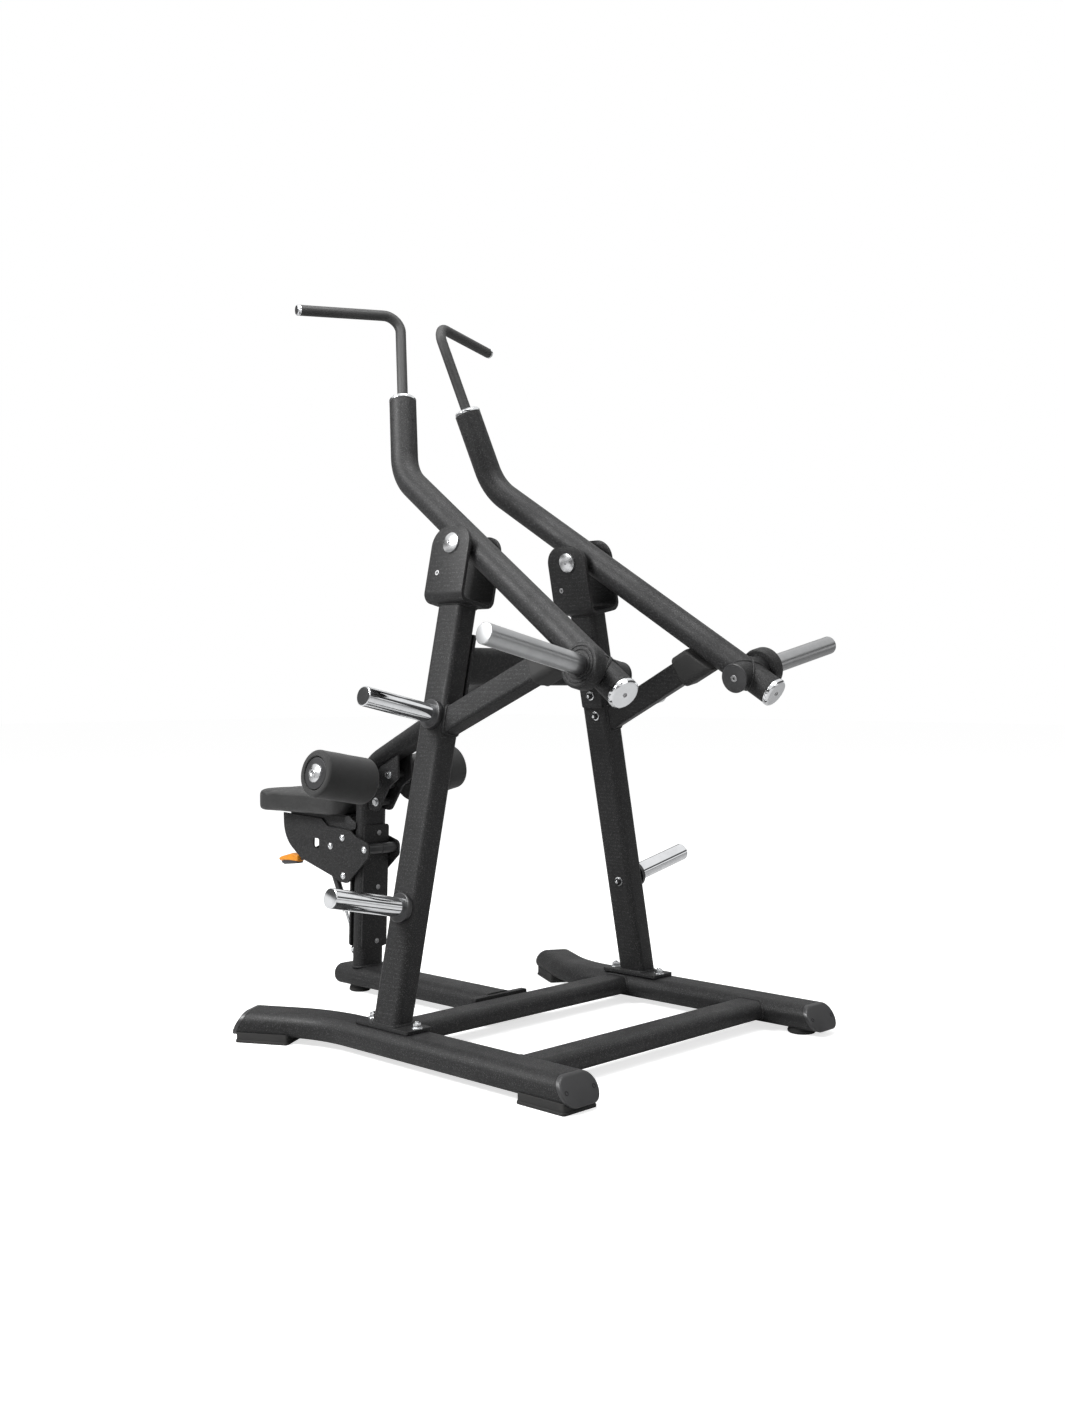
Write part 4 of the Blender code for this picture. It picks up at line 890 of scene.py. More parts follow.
ARM_FOOT = PIVOT + ARM_UP * PIVOT_DROP
STEM = RISE * cos(UPPER_LEAN) - Y_AXIS * sin(UPPER_LEAN)
ARM_BEND = ARM_FOOT - ARM_BACK * ARM_FRONT
ARM_TOP = ARM_BEND + STEM * UPPER_LENGTH
ARM_END = ARM_FOOT + ARM_BACK * ARM_REAR
HUB = ARM_FOOT + ARM_BACK * HUB_FROM_PIVOT

arm_tube = skin(swept(disc_outline(ARM_R, 72), *bent_path([ARM_END, ARM_BEND, ARM_TOP], ARM_BEND_R, 32), OUT))
hub_profile = full_profile([(ARM_R, -HUB_IN, 0.0012), (ARM_R, HUB_OUT, 0.0012)])
turn = np.linspace(0, 2 * pi, 96, endpoint=False)
saddle = []
for sign in (1, -1):
    away = np.sqrt((ARM_R * np.sin(turn)) ** 2 + 0.003 ** 2)
    saddle.append(weld(HUB + sign * OUT * away[:, None] + ARM_R
                       * (ARM_BACK * np.sin(turn)[:, None] + ARM_UP * np.cos(turn)[:, None]), 0.0036))
boss_profile = full_profile([(BOSS_R, -BOSS_HALF, 0.0012), (BOSS_R, BOSS_HALF, 0.0012)])
arm_shells = [arm_tube, turned(hub_profile, HUB, OUT, 72), *saddle, turned(boss_profile, PIVOT, OUT, 56)]
pair("arm_tube", arm_shells, FRAME_COAT, "SIDE_arm_body", ["arm"])

STEM_REAR = Y_AXIS * cos(UPPER_LEAN) + RISE * sin(UPPER_LEAN)
dimple = soft_profile([(0.0006, -0.001, 0), (0.0038, -0.001, 0), (0.0038, 0.0006, 0.0004),
                       (0.0006, 0.0006, 0)], 3)
dimples = [turned(dimple, ARM_TOP - STEM * 0.068 + way * ARM_R, way, 24)
           for way in (OUT, -OUT, STEM_REAR, -STEM_REAR)]
pair("arm_set_screws", dimples, DARK_STEEL, "SIDE_arm_body")


# ---- Weight horns ---------------------------------------------------------------------------------
# Satin steel horns for the plates, a thick black stop disc with turned grooves at the root of each, and
# a black disc with a screw on the hub's inner end.

HORN_R = 0.025
HORN_TIP = 0.394
PLATE_STOP_R = 0.056
PLATE_STOP_T = 0.037

SATIN_STEEL = plated_steel("satin_steel", "satin_steel", (0.36, 0.365, 0.37), 0.30)

horn_root = HUB + OUT * (HUB_OUT + GAP)
horn_length = HORN_TIP - HUB_OUT - GAP
horn = full_profile([(HORN_R, 0, 0), (HORN_R, horn_length, 0.0024)], 6)
pair("weight_horn_tube", [turned(horn, horn_root, OUT, 72)], SATIN_STEEL, "SIDE_arm_body", ["weight_horn"])

disc = [(HORN_R + GAP, 0.0003, 0), (PLATE_STOP_R, 0.0003, 0.006), (PLATE_STOP_R, PLATE_STOP_T, 0.006)]
for groove in (0.0440, 0.0345):
    disc += [(groove + 0.0014, PLATE_STOP_T, 0.0004), (groove + 0.0008, PLATE_STOP_T - 0.0016, 0.0003),
             (groove - 0.0008, PLATE_STOP_T - 0.0016, 0.0003), (groove - 0.0014, PLATE_STOP_T, 0.0004)]
disc.append((HORN_R + GAP, PLATE_STOP_T, 0))
pair("plate_stop_disc", [turned(soft_profile(disc), horn_root, OUT, 96, closed=True)], FRAME_COAT,
     "SIDE_arm_body", ["plate_stop"])

inner_disc = full_profile([(0.0388, 0, 0), (0.0388, 0.0045, 0.0015)])
hub_inner = HUB - OUT * HUB_IN
pair("hub_inner_disc", [turned(inner_disc, hub_inner, -OUT, 72)], BLACK_PLASTIC, "SIDE_arm_body")
screw = full_profile([(0.0092, 0.004, 0), (0.0092, 0.0054, 0.0006), (0.0034, 0.0056, 0.0003),
                      (0.0034, 0.0044, 0)], 4)
pair("hub_inner_screw", [turned(screw, hub_inner, -OUT, 48)], DULL_ZINC, "SIDE_arm_body")


# ---- Arm end caps and collars ---------------------------------------------------------------------
# Polished chrome caps on the arms' lower ends, stepped and held by a small screw, and polished collars
# at their upper ends around the handle's stem.

ARM_CAP_R = 0.0392
ARM_CAP_T = 0.015
COLLAR_T = 0.012
HANDLE_R = 0.015

cap = full_profile([(ARM_CAP_R - 0.0022, 0.0003, 0), (ARM_CAP_R - 0.0022, 0.0022, 0),
                    (ARM_CAP_R, 0.0022, 0.0006), (ARM_CAP_R, 0.0105, 0.0012),
                    (ARM_CAP_R - 0.0045, ARM_CAP_T, 0.003)], 5)
pair("arm_rear_cap", [turned(cap, ARM_END, ARM_BACK, 96)], CHROME, "SIDE_arm_body", ["arm_end_cap"])
small_screw = full_profile([(0.0055, 0, 0), (0.0055, 0.0016, 0.001), (0.0028, 0.0024, 0.0008),
                            (0.0024, 0.0024, 0.0002), (0.0024, 0.0008, 0)], 3)
pair("arm_rear_cap_screw", [turned(small_screw, ARM_END + ARM_BACK * ARM_CAP_T, ARM_BACK, 32)], DULL_ZINC,
     "SIDE_arm_body")

ring = soft_profile([(HANDLE_R + 0.0004, 0.0003, 0), (ARM_R + 0.0002, 0.0003, 0.0004),
                     (ARM_R + 0.0002, 0.0062, 0.0012), (ARM_R - 0.0050, COLLAR_T, 0.0022),
                     (HANDLE_R + 0.0022, COLLAR_T, 0.0010), (HANDLE_R + 0.0004, COLLAR_T - 0.003, 0)], 5)
pair("arm_top_collar", [turned(ring, ARM_TOP, STEM, 96, closed=True)], CHROME, "SIDE_arm_body",
     ["arm_collar"])


# ---- Handles --------------------------------------------------------------------------------------
# Bent rods in a matte black grip coating, turning in the arms' top ends, each with a short polished end
# cap at the grip's tip.

STEM_LENGTH = 0.283
STEM_DEPTH = 0.060
STEM_BEND_R = 0.045
GRIP_LENGTH = 0.319
GRIP_DROOP = radians(10.4)
GRIP_YAW = radians(19.9)
TIP_LENGTH = 0.010

GRIP_COAT = plastic("matte_grip_coat", "grip_coat", (0.017, 0.017, 0.017), 0.58, 0.35)

sideways = OUT * cos(GRIP_YAW) - STEM_REAR * sin(GRIP_YAW)
GRIP = sideways * cos(GRIP_DROOP) - STEM * sin(GRIP_DROOP)
grip_corner = ARM_TOP + STEM * STEM_LENGTH
grip_end = grip_corner + GRIP * GRIP_LENGTH
line = bent_path([ARM_TOP - STEM * STEM_DEPTH, grip_corner, grip_end - GRIP * TIP_LENGTH], STEM_BEND_R, 28)
pair("handle_rod", [skin(swept(disc_outline(HANDLE_R, 40), *line, np.cross(STEM, GRIP)))], GRIP_COAT,
     "SIDE_handle_body", ["handle"])
tip = full_profile([(HANDLE_R - 0.0006, -0.002, 0), (HANDLE_R - 0.0006, 0.0008, 0),
                    (HANDLE_R, 0.0008, 0.0003), (HANDLE_R, TIP_LENGTH, 0.003)], 6)
pair("handle_tip", [turned(tip, grip_end - GRIP * TIP_LENGTH, GRIP, 56)], CHROME, "SIDE_handle_body")


# ---- Seat post ------------------------------------------------------------------------------------
# One flat-oval tube that stands on the centre tube and bends back into the sloping beam, welded at both
# ends, with a small two-eared lug low on its front for the gas strut.

SEAT_POST_Y = -0.657
SEAT_POST_Z = 0.685
SEAT_POST_BEND_R = 0.140
BEAM_RISE = radians(25.8)
STRUT_LOW = (-0.0484, -0.562)
STRUT_UP = (-0.198, -0.289)

POST_UP = np.array(joints["seat_slide"]["axis"])
POST_REAR = np.cross(POST_UP, X_AXIS)
POST_CORNER_POINT = in_machine((0, SEAT_POST_Y, SEAT_POST_Z))
in_post = frame_at(POST_CORNER_POINT, X_AXIS, POST_REAR, POST_UP)


def cut_plate(corners, thickness, edge=0.0010, holes=()):
    """Flat plate of an outline with holes, its rims rounded by edge, filled as a flat curve."""
    curve = bpy.data.curves.new("plate", "CURVE")
    curve.dimensions = "2D"
    curve.fill_mode = "BOTH"
    curve.extrude = thickness / 2 - edge
    curve.bevel_depth = edge
    curve.bevel_resolution = 2
    curve.offset = -edge
    for loop in (rounded_corners(corners), *holes):
        spline = curve.splines.new("POLY")
        spline.points.add(len(loop) - 1)
        spline.points.foreach_set("co", np.pad(loop, ((0, 0), (0, 2)),
                                               constant_values=((0, 0), (0, 0))).ravel())
        spline.use_cyclic_u = True
    holder = bpy.data.objects.new("plate", curve)
    mesh = bpy.data.meshes.new_from_object(holder)
    points = np.zeros(len(mesh.vertices) * 3)
    mesh.vertices.foreach_get("co", points)
    points = points.reshape(-1, 3)
    faces = [list(face.vertices) for face in mesh.polygons]
    uv = np.concatenate([points[face][:, :2] for face in faces])
    bpy.data.objects.remove(holder)
    bpy.data.curves.remove(curve)
    bpy.data.meshes.remove(mesh)
    return points, faces, uv


def placed(shell, origin, first, second):
    """A flat plate laid in the plane of two axes, its thickness along their normal."""
    points, faces, uv = shell
    return np.asarray(origin) + points @ np.array([first, second, np.cross(first, second)]), faces, uv


post_section = oval_outline(CROSS_W, CROSS_H)
tube_top = CENTRE_Z + CENTRE_H / 2
post_foot = POST_CORNER_POINT - POST_UP * ((SEAT_POST_Z - tube_top) / POST_UP[2])
BEAM = Y_AXIS * cos(BEAM_RISE) + Z_AXIS * sin(BEAM_RISE)
beam_head = POST_CORNER_POINT + BEAM * ((-CROSS_H / 2 - SEAT_POST_Y) / BEAM[1])
post_rings = swept(post_section, *bent_path([post_foot, POST_CORNER_POINT, beam_head], SEAT_POST_BEND_R, 28),
                   X_AXIS)
low_ring = post_rings[0].copy()
high_ring = post_rings[-1].copy()
post_rings[0] = trimmed(low_ring, POST_UP, (0, 0, tube_top - 0.001), Z_AXIS)
post_rings[-1] = trimmed(high_ring, BEAM, in_machine((0, -CROSS_H / 2 + 0.001, 0)), Y_AXIS)
foot_bead = weld(trimmed(low_ring, POST_UP, (0, 0, tube_top + 0.0008), Z_AXIS), 0.0040)
head_bead = weld(trimmed(high_ring, BEAM, in_machine((0, -CROSS_H / 2 - 0.0008, 0)), Y_AXIS), 0.0040)
m, t = STRUT_LOW
lug_root = -CROSS_H / 2 + 0.004
lug = cut_plate([(lug_root, t - 0.016, 0), (lug_root, t + 0.016, 0), (m - 0.011, t + 0.011, 0.008),
                 (m - 0.011, t - 0.011, 0.008)], 0.006)
lugs = [placed(lug, POST_CORNER_POINT + X_AXIS * x, POST_REAR, POST_UP) for x in (-0.014, 0.014)]
make("seat_post_welded", [skin(post_rings), foot_bead, head_bead, *lugs], FRAME_COAT, "frame", ["seat_post"])

pin_head = full_profile([(0.004, -0.044, 0), (0.004, -0.005, 0), (0.0068, -0.005, 0.0003),
                         (0.0068, -0.001, 0.0015)])
make("strut_lower_pin", [turned(pin_head, in_post((0.0225, m, t)), X_AXIS, 24)], ZINC, "frame")


# ---- Guide plates ---------------------------------------------------------------------------------
# Flat steel tracks for the seat's rollers on the front and the rear of the seat post. The front one has
# a column of latch holes under two domed screws, the rear one three domed screws set to one side.

GUIDE_W = 0.097
GUIDE_TS = (-0.544, -0.171)
REAR_GUIDE_T = 0.005
FRONT_GUIDE_T = 0.008
LATCH_T = -0.281
LATCH_PITCH = 0.025
LATCH_COUNT = 5
GUIDE_SCREW_TS = (-0.196, -0.361, -0.526)
GUIDE_SCREW_SCALE = 0.8
REAR_SCREW_X = -0.009
FRONT_SCREW_T = -0.190
FRONT_SCREW_X = 0.030

guide = [(-GUIDE_W / 2, GUIDE_TS[0], 0.010), (GUIDE_W / 2, GUIDE_TS[0], 0.010),
         (GUIDE_W / 2, GUIDE_TS[1], 0.010), (-GUIDE_W / 2, GUIDE_TS[1], 0.010)]
latch_holes = [disc_outline(0.007, 28) + (0, LATCH_T - k * LATCH_PITCH) for k in range(LATCH_COUNT)]
rear_plate = placed(cut_plate(guide, REAR_GUIDE_T), in_post((0, CROSS_H / 2 + GAP + REAR_GUIDE_T / 2, 0)),
                    X_AXIS, POST_UP)
front_plate = placed(cut_plate(guide, FRONT_GUIDE_T, 0.0012, latch_holes),
                     in_post((0, -CROSS_H / 2 - GAP - FRONT_GUIDE_T / 2, 0)), X_AXIS, POST_UP)
make("rear_guide_track", [rear_plate], FRAME_COAT, "frame", ["rear_guide_plate"])
make("front_guide_track", [front_plate], FRAME_COAT, "frame", ["front_guide_plate"])

domed_screw = full_profile([(0.0098, 0, 0), (0.0098, 0.0014, 0.0005), (0.0074, 0.0016, 0.0002),
                            (0.0070, 0.0034, 0.0016), (0.0040, 0.0054, 0.004), (0.0030, 0.0054, 0.0003),
                            (0.0030, 0.0026, 0)], 4)
domed_screw *= GUIDE_SCREW_SCALE
screws = [turned(domed_screw, in_post((REAR_SCREW_X, CROSS_H / 2 + REAR_GUIDE_T + GAP, t)), POST_REAR, 36)
          for t in GUIDE_SCREW_TS]
screws += [turned(domed_screw, in_post((x, -CROSS_H / 2 - FRONT_GUIDE_T - GAP, FRONT_SCREW_T)), -POST_REAR,
                  36) for x in (-FRONT_SCREW_X, FRONT_SCREW_X)]
make("guide_track_screws", screws, DULL_ZINC, "frame")


# ---- Knee bracket ---------------------------------------------------------------------------------
# Two curved steel cheeks clamped round the knee shaft under the beam's bend, tied by two bolted spacers,
# and the round bar of the shaft, which is bent upward at its middle.

BRACKET_X = 0.026
BRACKET_T = 0.008
KNEE_SHAFT_R = 0.0125
KNEE_SHAFT_HALF = 0.2695
KNEE_BEND_R = 0.040

cheek = cut_plate([(-0.650, 0.640, 0), (-0.634, 0.560, 0.008), (-0.596, 0.556, 0.022), (-0.566, 0.600, 0.020),
                   (-0.545, 0.632, 0.030), (-0.502, 0.660, 0.012), (-0.505, 0.735, 0), (-0.590, 0.710, 0)],
                  BRACKET_T)
cheeks = [placed(cheek, in_machine((x, 0, 0)), Y_AXIS, Z_AXIS) for x in (-BRACKET_X, BRACKET_X)]
bracket_bolts = []
for y, z, radius in ((-0.602, 0.585, 0.011), (-0.542, 0.669, 0.010)):
    middle = in_machine((0, y, z))
    cheeks.append(turned([(0.001, -BRACKET_X), (radius, -BRACKET_X), (radius, BRACKET_X), (0.001, BRACKET_X)],
                         middle, X_AXIS, 32))
    for sign in (1, -1):
        bracket_bolts += hex_bolt(middle + X_AXIS * sign * (BRACKET_X + BRACKET_T / 2), X_AXIS * sign,
                                  1.5 * radius, 0.007)
make("knee_bracket_cheeks", cheeks, FRAME_COAT, "frame", ["knee_bracket"])
make("knee_bracket_bolts", bracket_bolts, ZINC, "frame")

KNEE_MIDDLE = np.array(joints["right_knee_roller_spin"]["pos_m"])
KNEE_AXIS = np.array(joints["right_knee_roller_spin"]["axis"])
knee_ends = [KNEE_MIDDLE + KNEE_AXIS * (side, 1, abs(side)) * KNEE_SHAFT_HALF for side in (-1, 1)]
shaft_line = bent_path([knee_ends[0], KNEE_MIDDLE, knee_ends[1]], KNEE_BEND_R, 16)
make("knee_shaft_bar", [skin(swept(disc_outline(KNEE_SHAFT_R, 40), *shaft_line, Y_AXIS))], SATIN_STEEL,
     "frame", ["knee_shaft"])


# ---- Foam rollers ---------------------------------------------------------------------------------
# Dense closed-cell foam rollers on the knee shaft, matte black with a fine pore. Each has slightly soft,
# not quite straight sides and is held by a black washer and a polished domed cap.

FOAM_R = 0.0695
FOAM_IN = 0.085
FOAM_OUT = 0.275
FOAM_EDGE = 0.010
FOAM_RECESS_R = 0.050
FOAM_RECESS = 0.008
WASHER_R = 0.047
WASHER_T = 0.005
KNEE_CAP_R = 0.028


def foam_finish():
    """Closed-cell foam: very matte, small dark pores between paler cells, and broad dull patches."""
    material, tree, shader = new_material("closed_cell_foam", "foam", (0.014, 0.014, 0.014), 0.86)
    position = node(tree, "ShaderNodeTexCoord").outputs["Object"]
    grain = placed_group(tree, GRAIN, {"Position": position, "Grains per metre": 950.0, "Fleck share": 0.10})
    base = mixed(tree, ramp(tree, grain.outputs["Mottle"], 0.3, 0.7, 0.0, 1.0), (0.011, 0.011, 0.011),
                 (0.022, 0.022, 0.022))
    tree.links.new(mixed(tree, grain.outputs["Flecks"], base, (0.045, 0.045, 0.045)),
                   shader.inputs["Base Color"])
    shader.inputs["Sheen Weight"].default_value = 0.12
    bump = node(tree, "ShaderNodeBump", {"Height": grain.outputs["Height"], "Strength": 0.5,
                                         "Distance": 0.0005})
    tree.links.new(bump.outputs[0], shader.inputs["Normal"])
    return material


def foam_roller():
    """Turned roller whose radius swells by a fifth of a millimetre in slow waves along it and around it."""
    hole = KNEE_SHAFT_R + GAP
    floor = FOAM_OUT - FOAM_RECESS
    side = [(FOAM_R, FOAM_IN + FOAM_EDGE + k * (FOAM_OUT - FOAM_IN - 2 * FOAM_EDGE) / 24)
            for k in range(1, 24)]
    start = soft_profile([(hole, FOAM_IN, 0), (FOAM_R - 0.0002, FOAM_IN, FOAM_EDGE),
                          (FOAM_R, FOAM_IN + FOAM_EDGE + 0.001, 0)], 8)
    end = soft_profile([(FOAM_R, FOAM_OUT - FOAM_EDGE - 0.001, 0), (FOAM_R, FOAM_OUT, FOAM_EDGE),
                        (FOAM_RECESS_R, FOAM_OUT, 0.003), (FOAM_RECESS_R, floor, 0.002), (hole, floor, 0)], 8)
    points, faces, uv = turned(np.concatenate([start, side, end]), KNEE_MIDDLE, KNEE_AXIS, 96, closed=True)
    local = points - KNEE_MIDDLE
    along = local @ KNEE_AXIS
    radial = local - along[:, None] * KNEE_AXIS
    radius = np.linalg.norm(radial, axis=1)
    angle = np.arctan2(radial @ Y_AXIS, radial @ np.cross(KNEE_AXIS, Y_AXIS))
    wave = 0.0002 * (np.sin(along * 70) + np.sin(3 * angle + along * 24) * 0.6)
    return points + radial / radius[:, None] * (wave * (radius > 0.06))[:, None], faces, uv


FOAM = foam_finish()
for roller in pair("foam_roller", [foam_roller()], FOAM, "SIDE_knee_roller", ["knee_foam"]):
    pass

washer_at = FOAM_OUT - FOAM_RECESS + 0.0006
washer = soft_profile([(0.0100, 0, 0), (WASHER_R, 0, 0.0008), (WASHER_R, WASHER_T, 0.0014),
                       (0.0100, WASHER_T, 0)])
pair("roller_washer", [turned(washer, KNEE_MIDDLE + KNEE_AXIS * washer_at, KNEE_AXIS, 72, closed=True)],
     BLACK_PLASTIC, "frame", ["roller_cap"])
knob = soft_profile([(AXIS_R, 0.004, 0), (KNEE_CAP_R, 0.004, 0), (KNEE_CAP_R, 0.0080, 0.0012)], 5)
crown = np.linspace(KNEE_CAP_R - 0.0012, 0.0032, 18)
crown = np.stack([crown, 0.0080 + 0.0075 * (1 - (crown / KNEE_CAP_R) ** 2)], -1)
crown[:, 1] -= 0.0009 * (np.abs(crown[:, 0] - 0.0095) < 0.0009)
knob = np.concatenate([knob[:-1], crown, [(0.0026, 0.0150), (0.0026, 0.0110), (0.001, 0.0110)]])
pair("roller_dome", [turned(knob, KNEE_MIDDLE + KNEE_AXIS * washer_at, KNEE_AXIS, 72)], SOFT_CHROME, "frame")


# ---- Seat carriage --------------------------------------------------------------------------------
# Two cut steel plates either side of the seat post, tied by pins and by the latch block, with polished
# domed bolts where the pins end. Two plastic rollers run on the guide tracks between the plates.

PLATE_X = 0.059
PLATE_T = 0.006
ROLLER_R = 0.016
REAR_ROLLER_T = -0.241
FRONT_ROLLER_T = -0.331
SPACER = (-0.058, -0.216)
LEVER = (-0.1144, -0.2471)
BLOCK_MS = (-0.088, -0.062)

rear_m = CROSS_H / 2 + GAP + REAR_GUIDE_T + ROLLER_R + GAP
front_m = -(CROSS_H / 2 + GAP + FRONT_GUIDE_T) - ROLLER_R - GAP
carriage = [(-0.3565, -0.1665, 0), (-0.350, -0.247, 0.10), (-0.262, -0.3015, 0.05), (-0.100, -0.340, 0.06),
            (-0.064, -0.352, 0.018), (-0.030, -0.352, 0.022), (0.068, -0.262, 0.018), (0.068, -0.222, 0.018),
            (0.006, -0.207, 0.02), (-0.022, -0.192, 0.012), (-0.062, -0.189, 0.02), (-0.130, -0.189, 0.02),
            (-0.163, -0.1665, 0),]
window = rounded_corners([(-0.199, -0.231, 0.002), (-0.199, -0.262, 0.012), (-0.172, -0.262, 0.006),
                          (-0.172, -0.231, 0.006)])
carriage_plate = cut_plate(carriage, PLATE_T, 0.0010, [window])
carriage_shells = [placed(carriage_plate, in_post((x, 0, 0)), POST_REAR, POST_UP)
                   for x in (-PLATE_X, PLATE_X)]
block_outline = lambda grow: box_outline(BLOCK_MS[1] - BLOCK_MS[0], 0.028, 0.002, grow)
carriage_shells.append(prism(block_outline, in_post((-PLATE_X, sum(BLOCK_MS) / 2, LATCH_T)), POST_REAR,
                             POST_UP, 0.0, 2 * PLATE_X, 0.001))
pins = ((rear_m, REAR_ROLLER_T, 0.005), (front_m, FRONT_ROLLER_T, 0.005), (*SPACER, 0.009), (*LEVER, 0.006),
        (*STRUT_UP, 0.004))
rods = [turned([(0.001, -PLATE_X), (radius, -PLATE_X), (radius, PLATE_X), (0.001, PLATE_X)],
               in_post((0, m, t)), X_AXIS, 28) for m, t, radius in pins]
make("seat_carriage_plates", carriage_shells + rods, FRAME_COAT, "seat", ["seat_carriage"])

plate_bolt = full_profile([(0.0105, 0, 0), (0.0105, 0.0014, 0.0005), (0.0086, 0.0016, 0.0002),
                           (0.0084, 0.0040, 0.0018), (0.0050, 0.0062, 0.004), (0.0036, 0.0062, 0.0003),
                           (0.0036, 0.0032, 0)], 4)
bolts = []
for m, t, radius in pins[:-1]:
    for sign in (1, -1):
        bolts.append(turned(plate_bolt, in_post((sign * (PLATE_X + PLATE_T / 2), m, t)), X_AXIS * sign, 40))
make("seat_carriage_bolts", bolts, CHROME, "seat")

half = PLATE_X - PLATE_T / 2 - 0.001
for where, m, t in (("rear", rear_m, REAR_ROLLER_T), ("front", front_m, FRONT_ROLLER_T)):
    barrel = soft_profile([(0.0054, -half, 0), (ROLLER_R, -half, 0.0012), (ROLLER_R, -0.0012, 0.0004),
                           (ROLLER_R - 0.0016, -0.0010, 0.0002), (ROLLER_R - 0.0016, 0.0010, 0.0002),
                           (ROLLER_R, 0.0012, 0.0004), (ROLLER_R, half, 0.0012), (0.0054, half, 0)])
    make(f"{where}_roller_barrel", [turned(barrel, in_post((0, m, t)), X_AXIS, 56, closed=True)],
         BLACK_PLASTIC, f"{where}_roller_body", [f"{where}_carriage_roller"])


# ---- Seat frame -----------------------------------------------------------------------------------
# Two inner side plates with a top board under the cushion, powder coated, spot welded to the board and
# bolted through to the carriage.

INNER_X = 0.053
INNER_T = 0.005
SEAT_TOP_Z = 0.5397
CUSHION_T = 0.065
TILT = radians(2)


def level_t(z, m):
    """Length up the seat post at which a height is met, some way behind the post's line."""
    return (z - SEAT_POST_Z + m * sin(TILT)) / cos(TILT)


inner = cut_plate([(-0.330, level_t(SEAT_TOP_Z - 0.002, -0.330), 0), (-0.300, -0.206, 0.03),
                   (-0.225, -0.206, 0.02), (-0.205, -0.196, 0.01), (-0.040, -0.196, 0.02),
                   (-0.003, -0.184, 0.008), (-0.003, -0.166, 0.006), (-0.028, -0.156, 0.012),
                   (-0.034, level_t(SEAT_TOP_Z - 0.002, -0.034), 0)], INNER_T)
board_width = 2 * INNER_X + INNER_T
board = prism(lambda grow: box_outline(board_width, 0.280, 0.003, grow),
              in_machine((0, SEAT_POST_Y - 0.200, SEAT_TOP_Z - 0.006)), X_AXIS, Y_AXIS, 0.0, 0.006, 0.001)
inner_plates = [placed(inner, in_post((x, 0, 0)), POST_REAR, POST_UP) for x in (-INNER_X, INNER_X)]
make("seat_frame_plates", [*inner_plates, board], FRAME_COAT, "seat", ["seat_frame"])


# ---- Seat cushion ---------------------------------------------------------------------------------
# Firm foam under fine-grained black vinyl, wider at the front, with soft rounded edges and no piping. A
# cloth simulation inflates it a little, so its top is crowned and its sides pull in between the corners.

CUSHION_FRONT_Y = -1.105
CUSHION_REAR_Y = -0.706
CUSHION_FRONT_W = 0.266
CUSHION_REAR_W = 0.212
CUSHION_LOW = 0.540


def vinyl_finish():
    """Upholstery vinyl: a fine pebble grain on the cushion, with slightly worn, smoother patches."""
    material, tree, shader = new_material("black_vinyl", "vinyl", (0.014, 0.014, 0.014), 0.45)
    position = node(tree, "ShaderNodeTexCoord").outputs["Object"]
    grain = placed_group(tree, GRAIN, {"Position": position, "Grains per metre": 480.0, "Fleck share": 0.0})
    tree.links.new(ramp(tree, grain.outputs["Mottle"], 0.3, 0.72, 0.36, 0.50), shader.inputs["Roughness"])
    tone = ramp(tree, grain.outputs["Height"], 0.35, 0.65, 0.0, 1.0)
    tree.links.new(mixed(tree, tone, (0.008, 0.008, 0.008), (0.024, 0.024, 0.024)),
                   shader.inputs["Base Color"])
    bump = node(tree, "ShaderNodeBump", {"Height": grain.outputs["Height"], "Strength": 0.35,
                                         "Distance": 0.0005})
    tree.links.new(bump.outputs[0], shader.inputs["Normal"])
    return material


def cushion_outline(grow):
    a = CUSHION_FRONT_W / 2 + grow
    b = CUSHION_REAR_W / 2 + grow
    return rounded_corners([(-a, CUSHION_FRONT_Y - grow, 0.060 + grow),
                            (a, CUSHION_FRONT_Y - grow, 0.060 + grow),
                            (b, CUSHION_REAR_Y + grow, 0.045 + grow),
                            (-b, CUSHION_REAR_Y + grow, 0.045 + grow)], 14)


def inflate(cushion):
    """Blows the cushion up as cloth, keeps each point within five millimetres of its place, and smooths it."""
    remesh = cushion.modifiers.new("Even", "REMESH")
    remesh.mode = "VOXEL"
    remesh.voxel_size = 0.005
    settle(cushion)
    start = points_of(cushion)
    cloth = cushion.modifiers.new("Cloth", "CLOTH")
    cloth.settings.use_pressure = True
    cloth.settings.uniform_pressure_force = 4.0
    cloth.settings.effector_weights.gravity = 0.0
    cloth.settings.tension_stiffness = 40.0
    cloth.settings.compression_stiffness = 40.0
    cloth.settings.bending_stiffness = 4.0
    cloth.point_cache.frame_start = 1
    cloth.point_cache.frame_end = 20
    for step in range(1, 21):
        bpy.context.scene.frame_set(step)
    settle(cushion)
    bpy.context.scene.frame_set(1)
    moved = points_of(cushion) - start
    reach = np.linalg.norm(moved, axis=1)
    moved *= np.minimum(1, 0.005 / np.maximum(reach, 1e-9))[:, None]
    held = start + moved
    held[:, 2] = np.maximum(held[:, 2], CUSHION_LOW)
    cushion.data.vertices.foreach_set("co", held.ravel())
    smooth = cushion.modifiers.new("Smooth", "SMOOTH")
    smooth.factor = 0.5
    smooth.iterations = 6
    settle(cushion)
    finer = cushion.modifiers.new("Finer", "SUBSURF")
    finer.levels = 1
    finer.render_levels = 1
    settle(cushion)


def points_of(piece):
    points = np.zeros(len(piece.data.vertices) * 3)
    piece.data.vertices.foreach_get("co", points)
    return points.reshape(-1, 3)


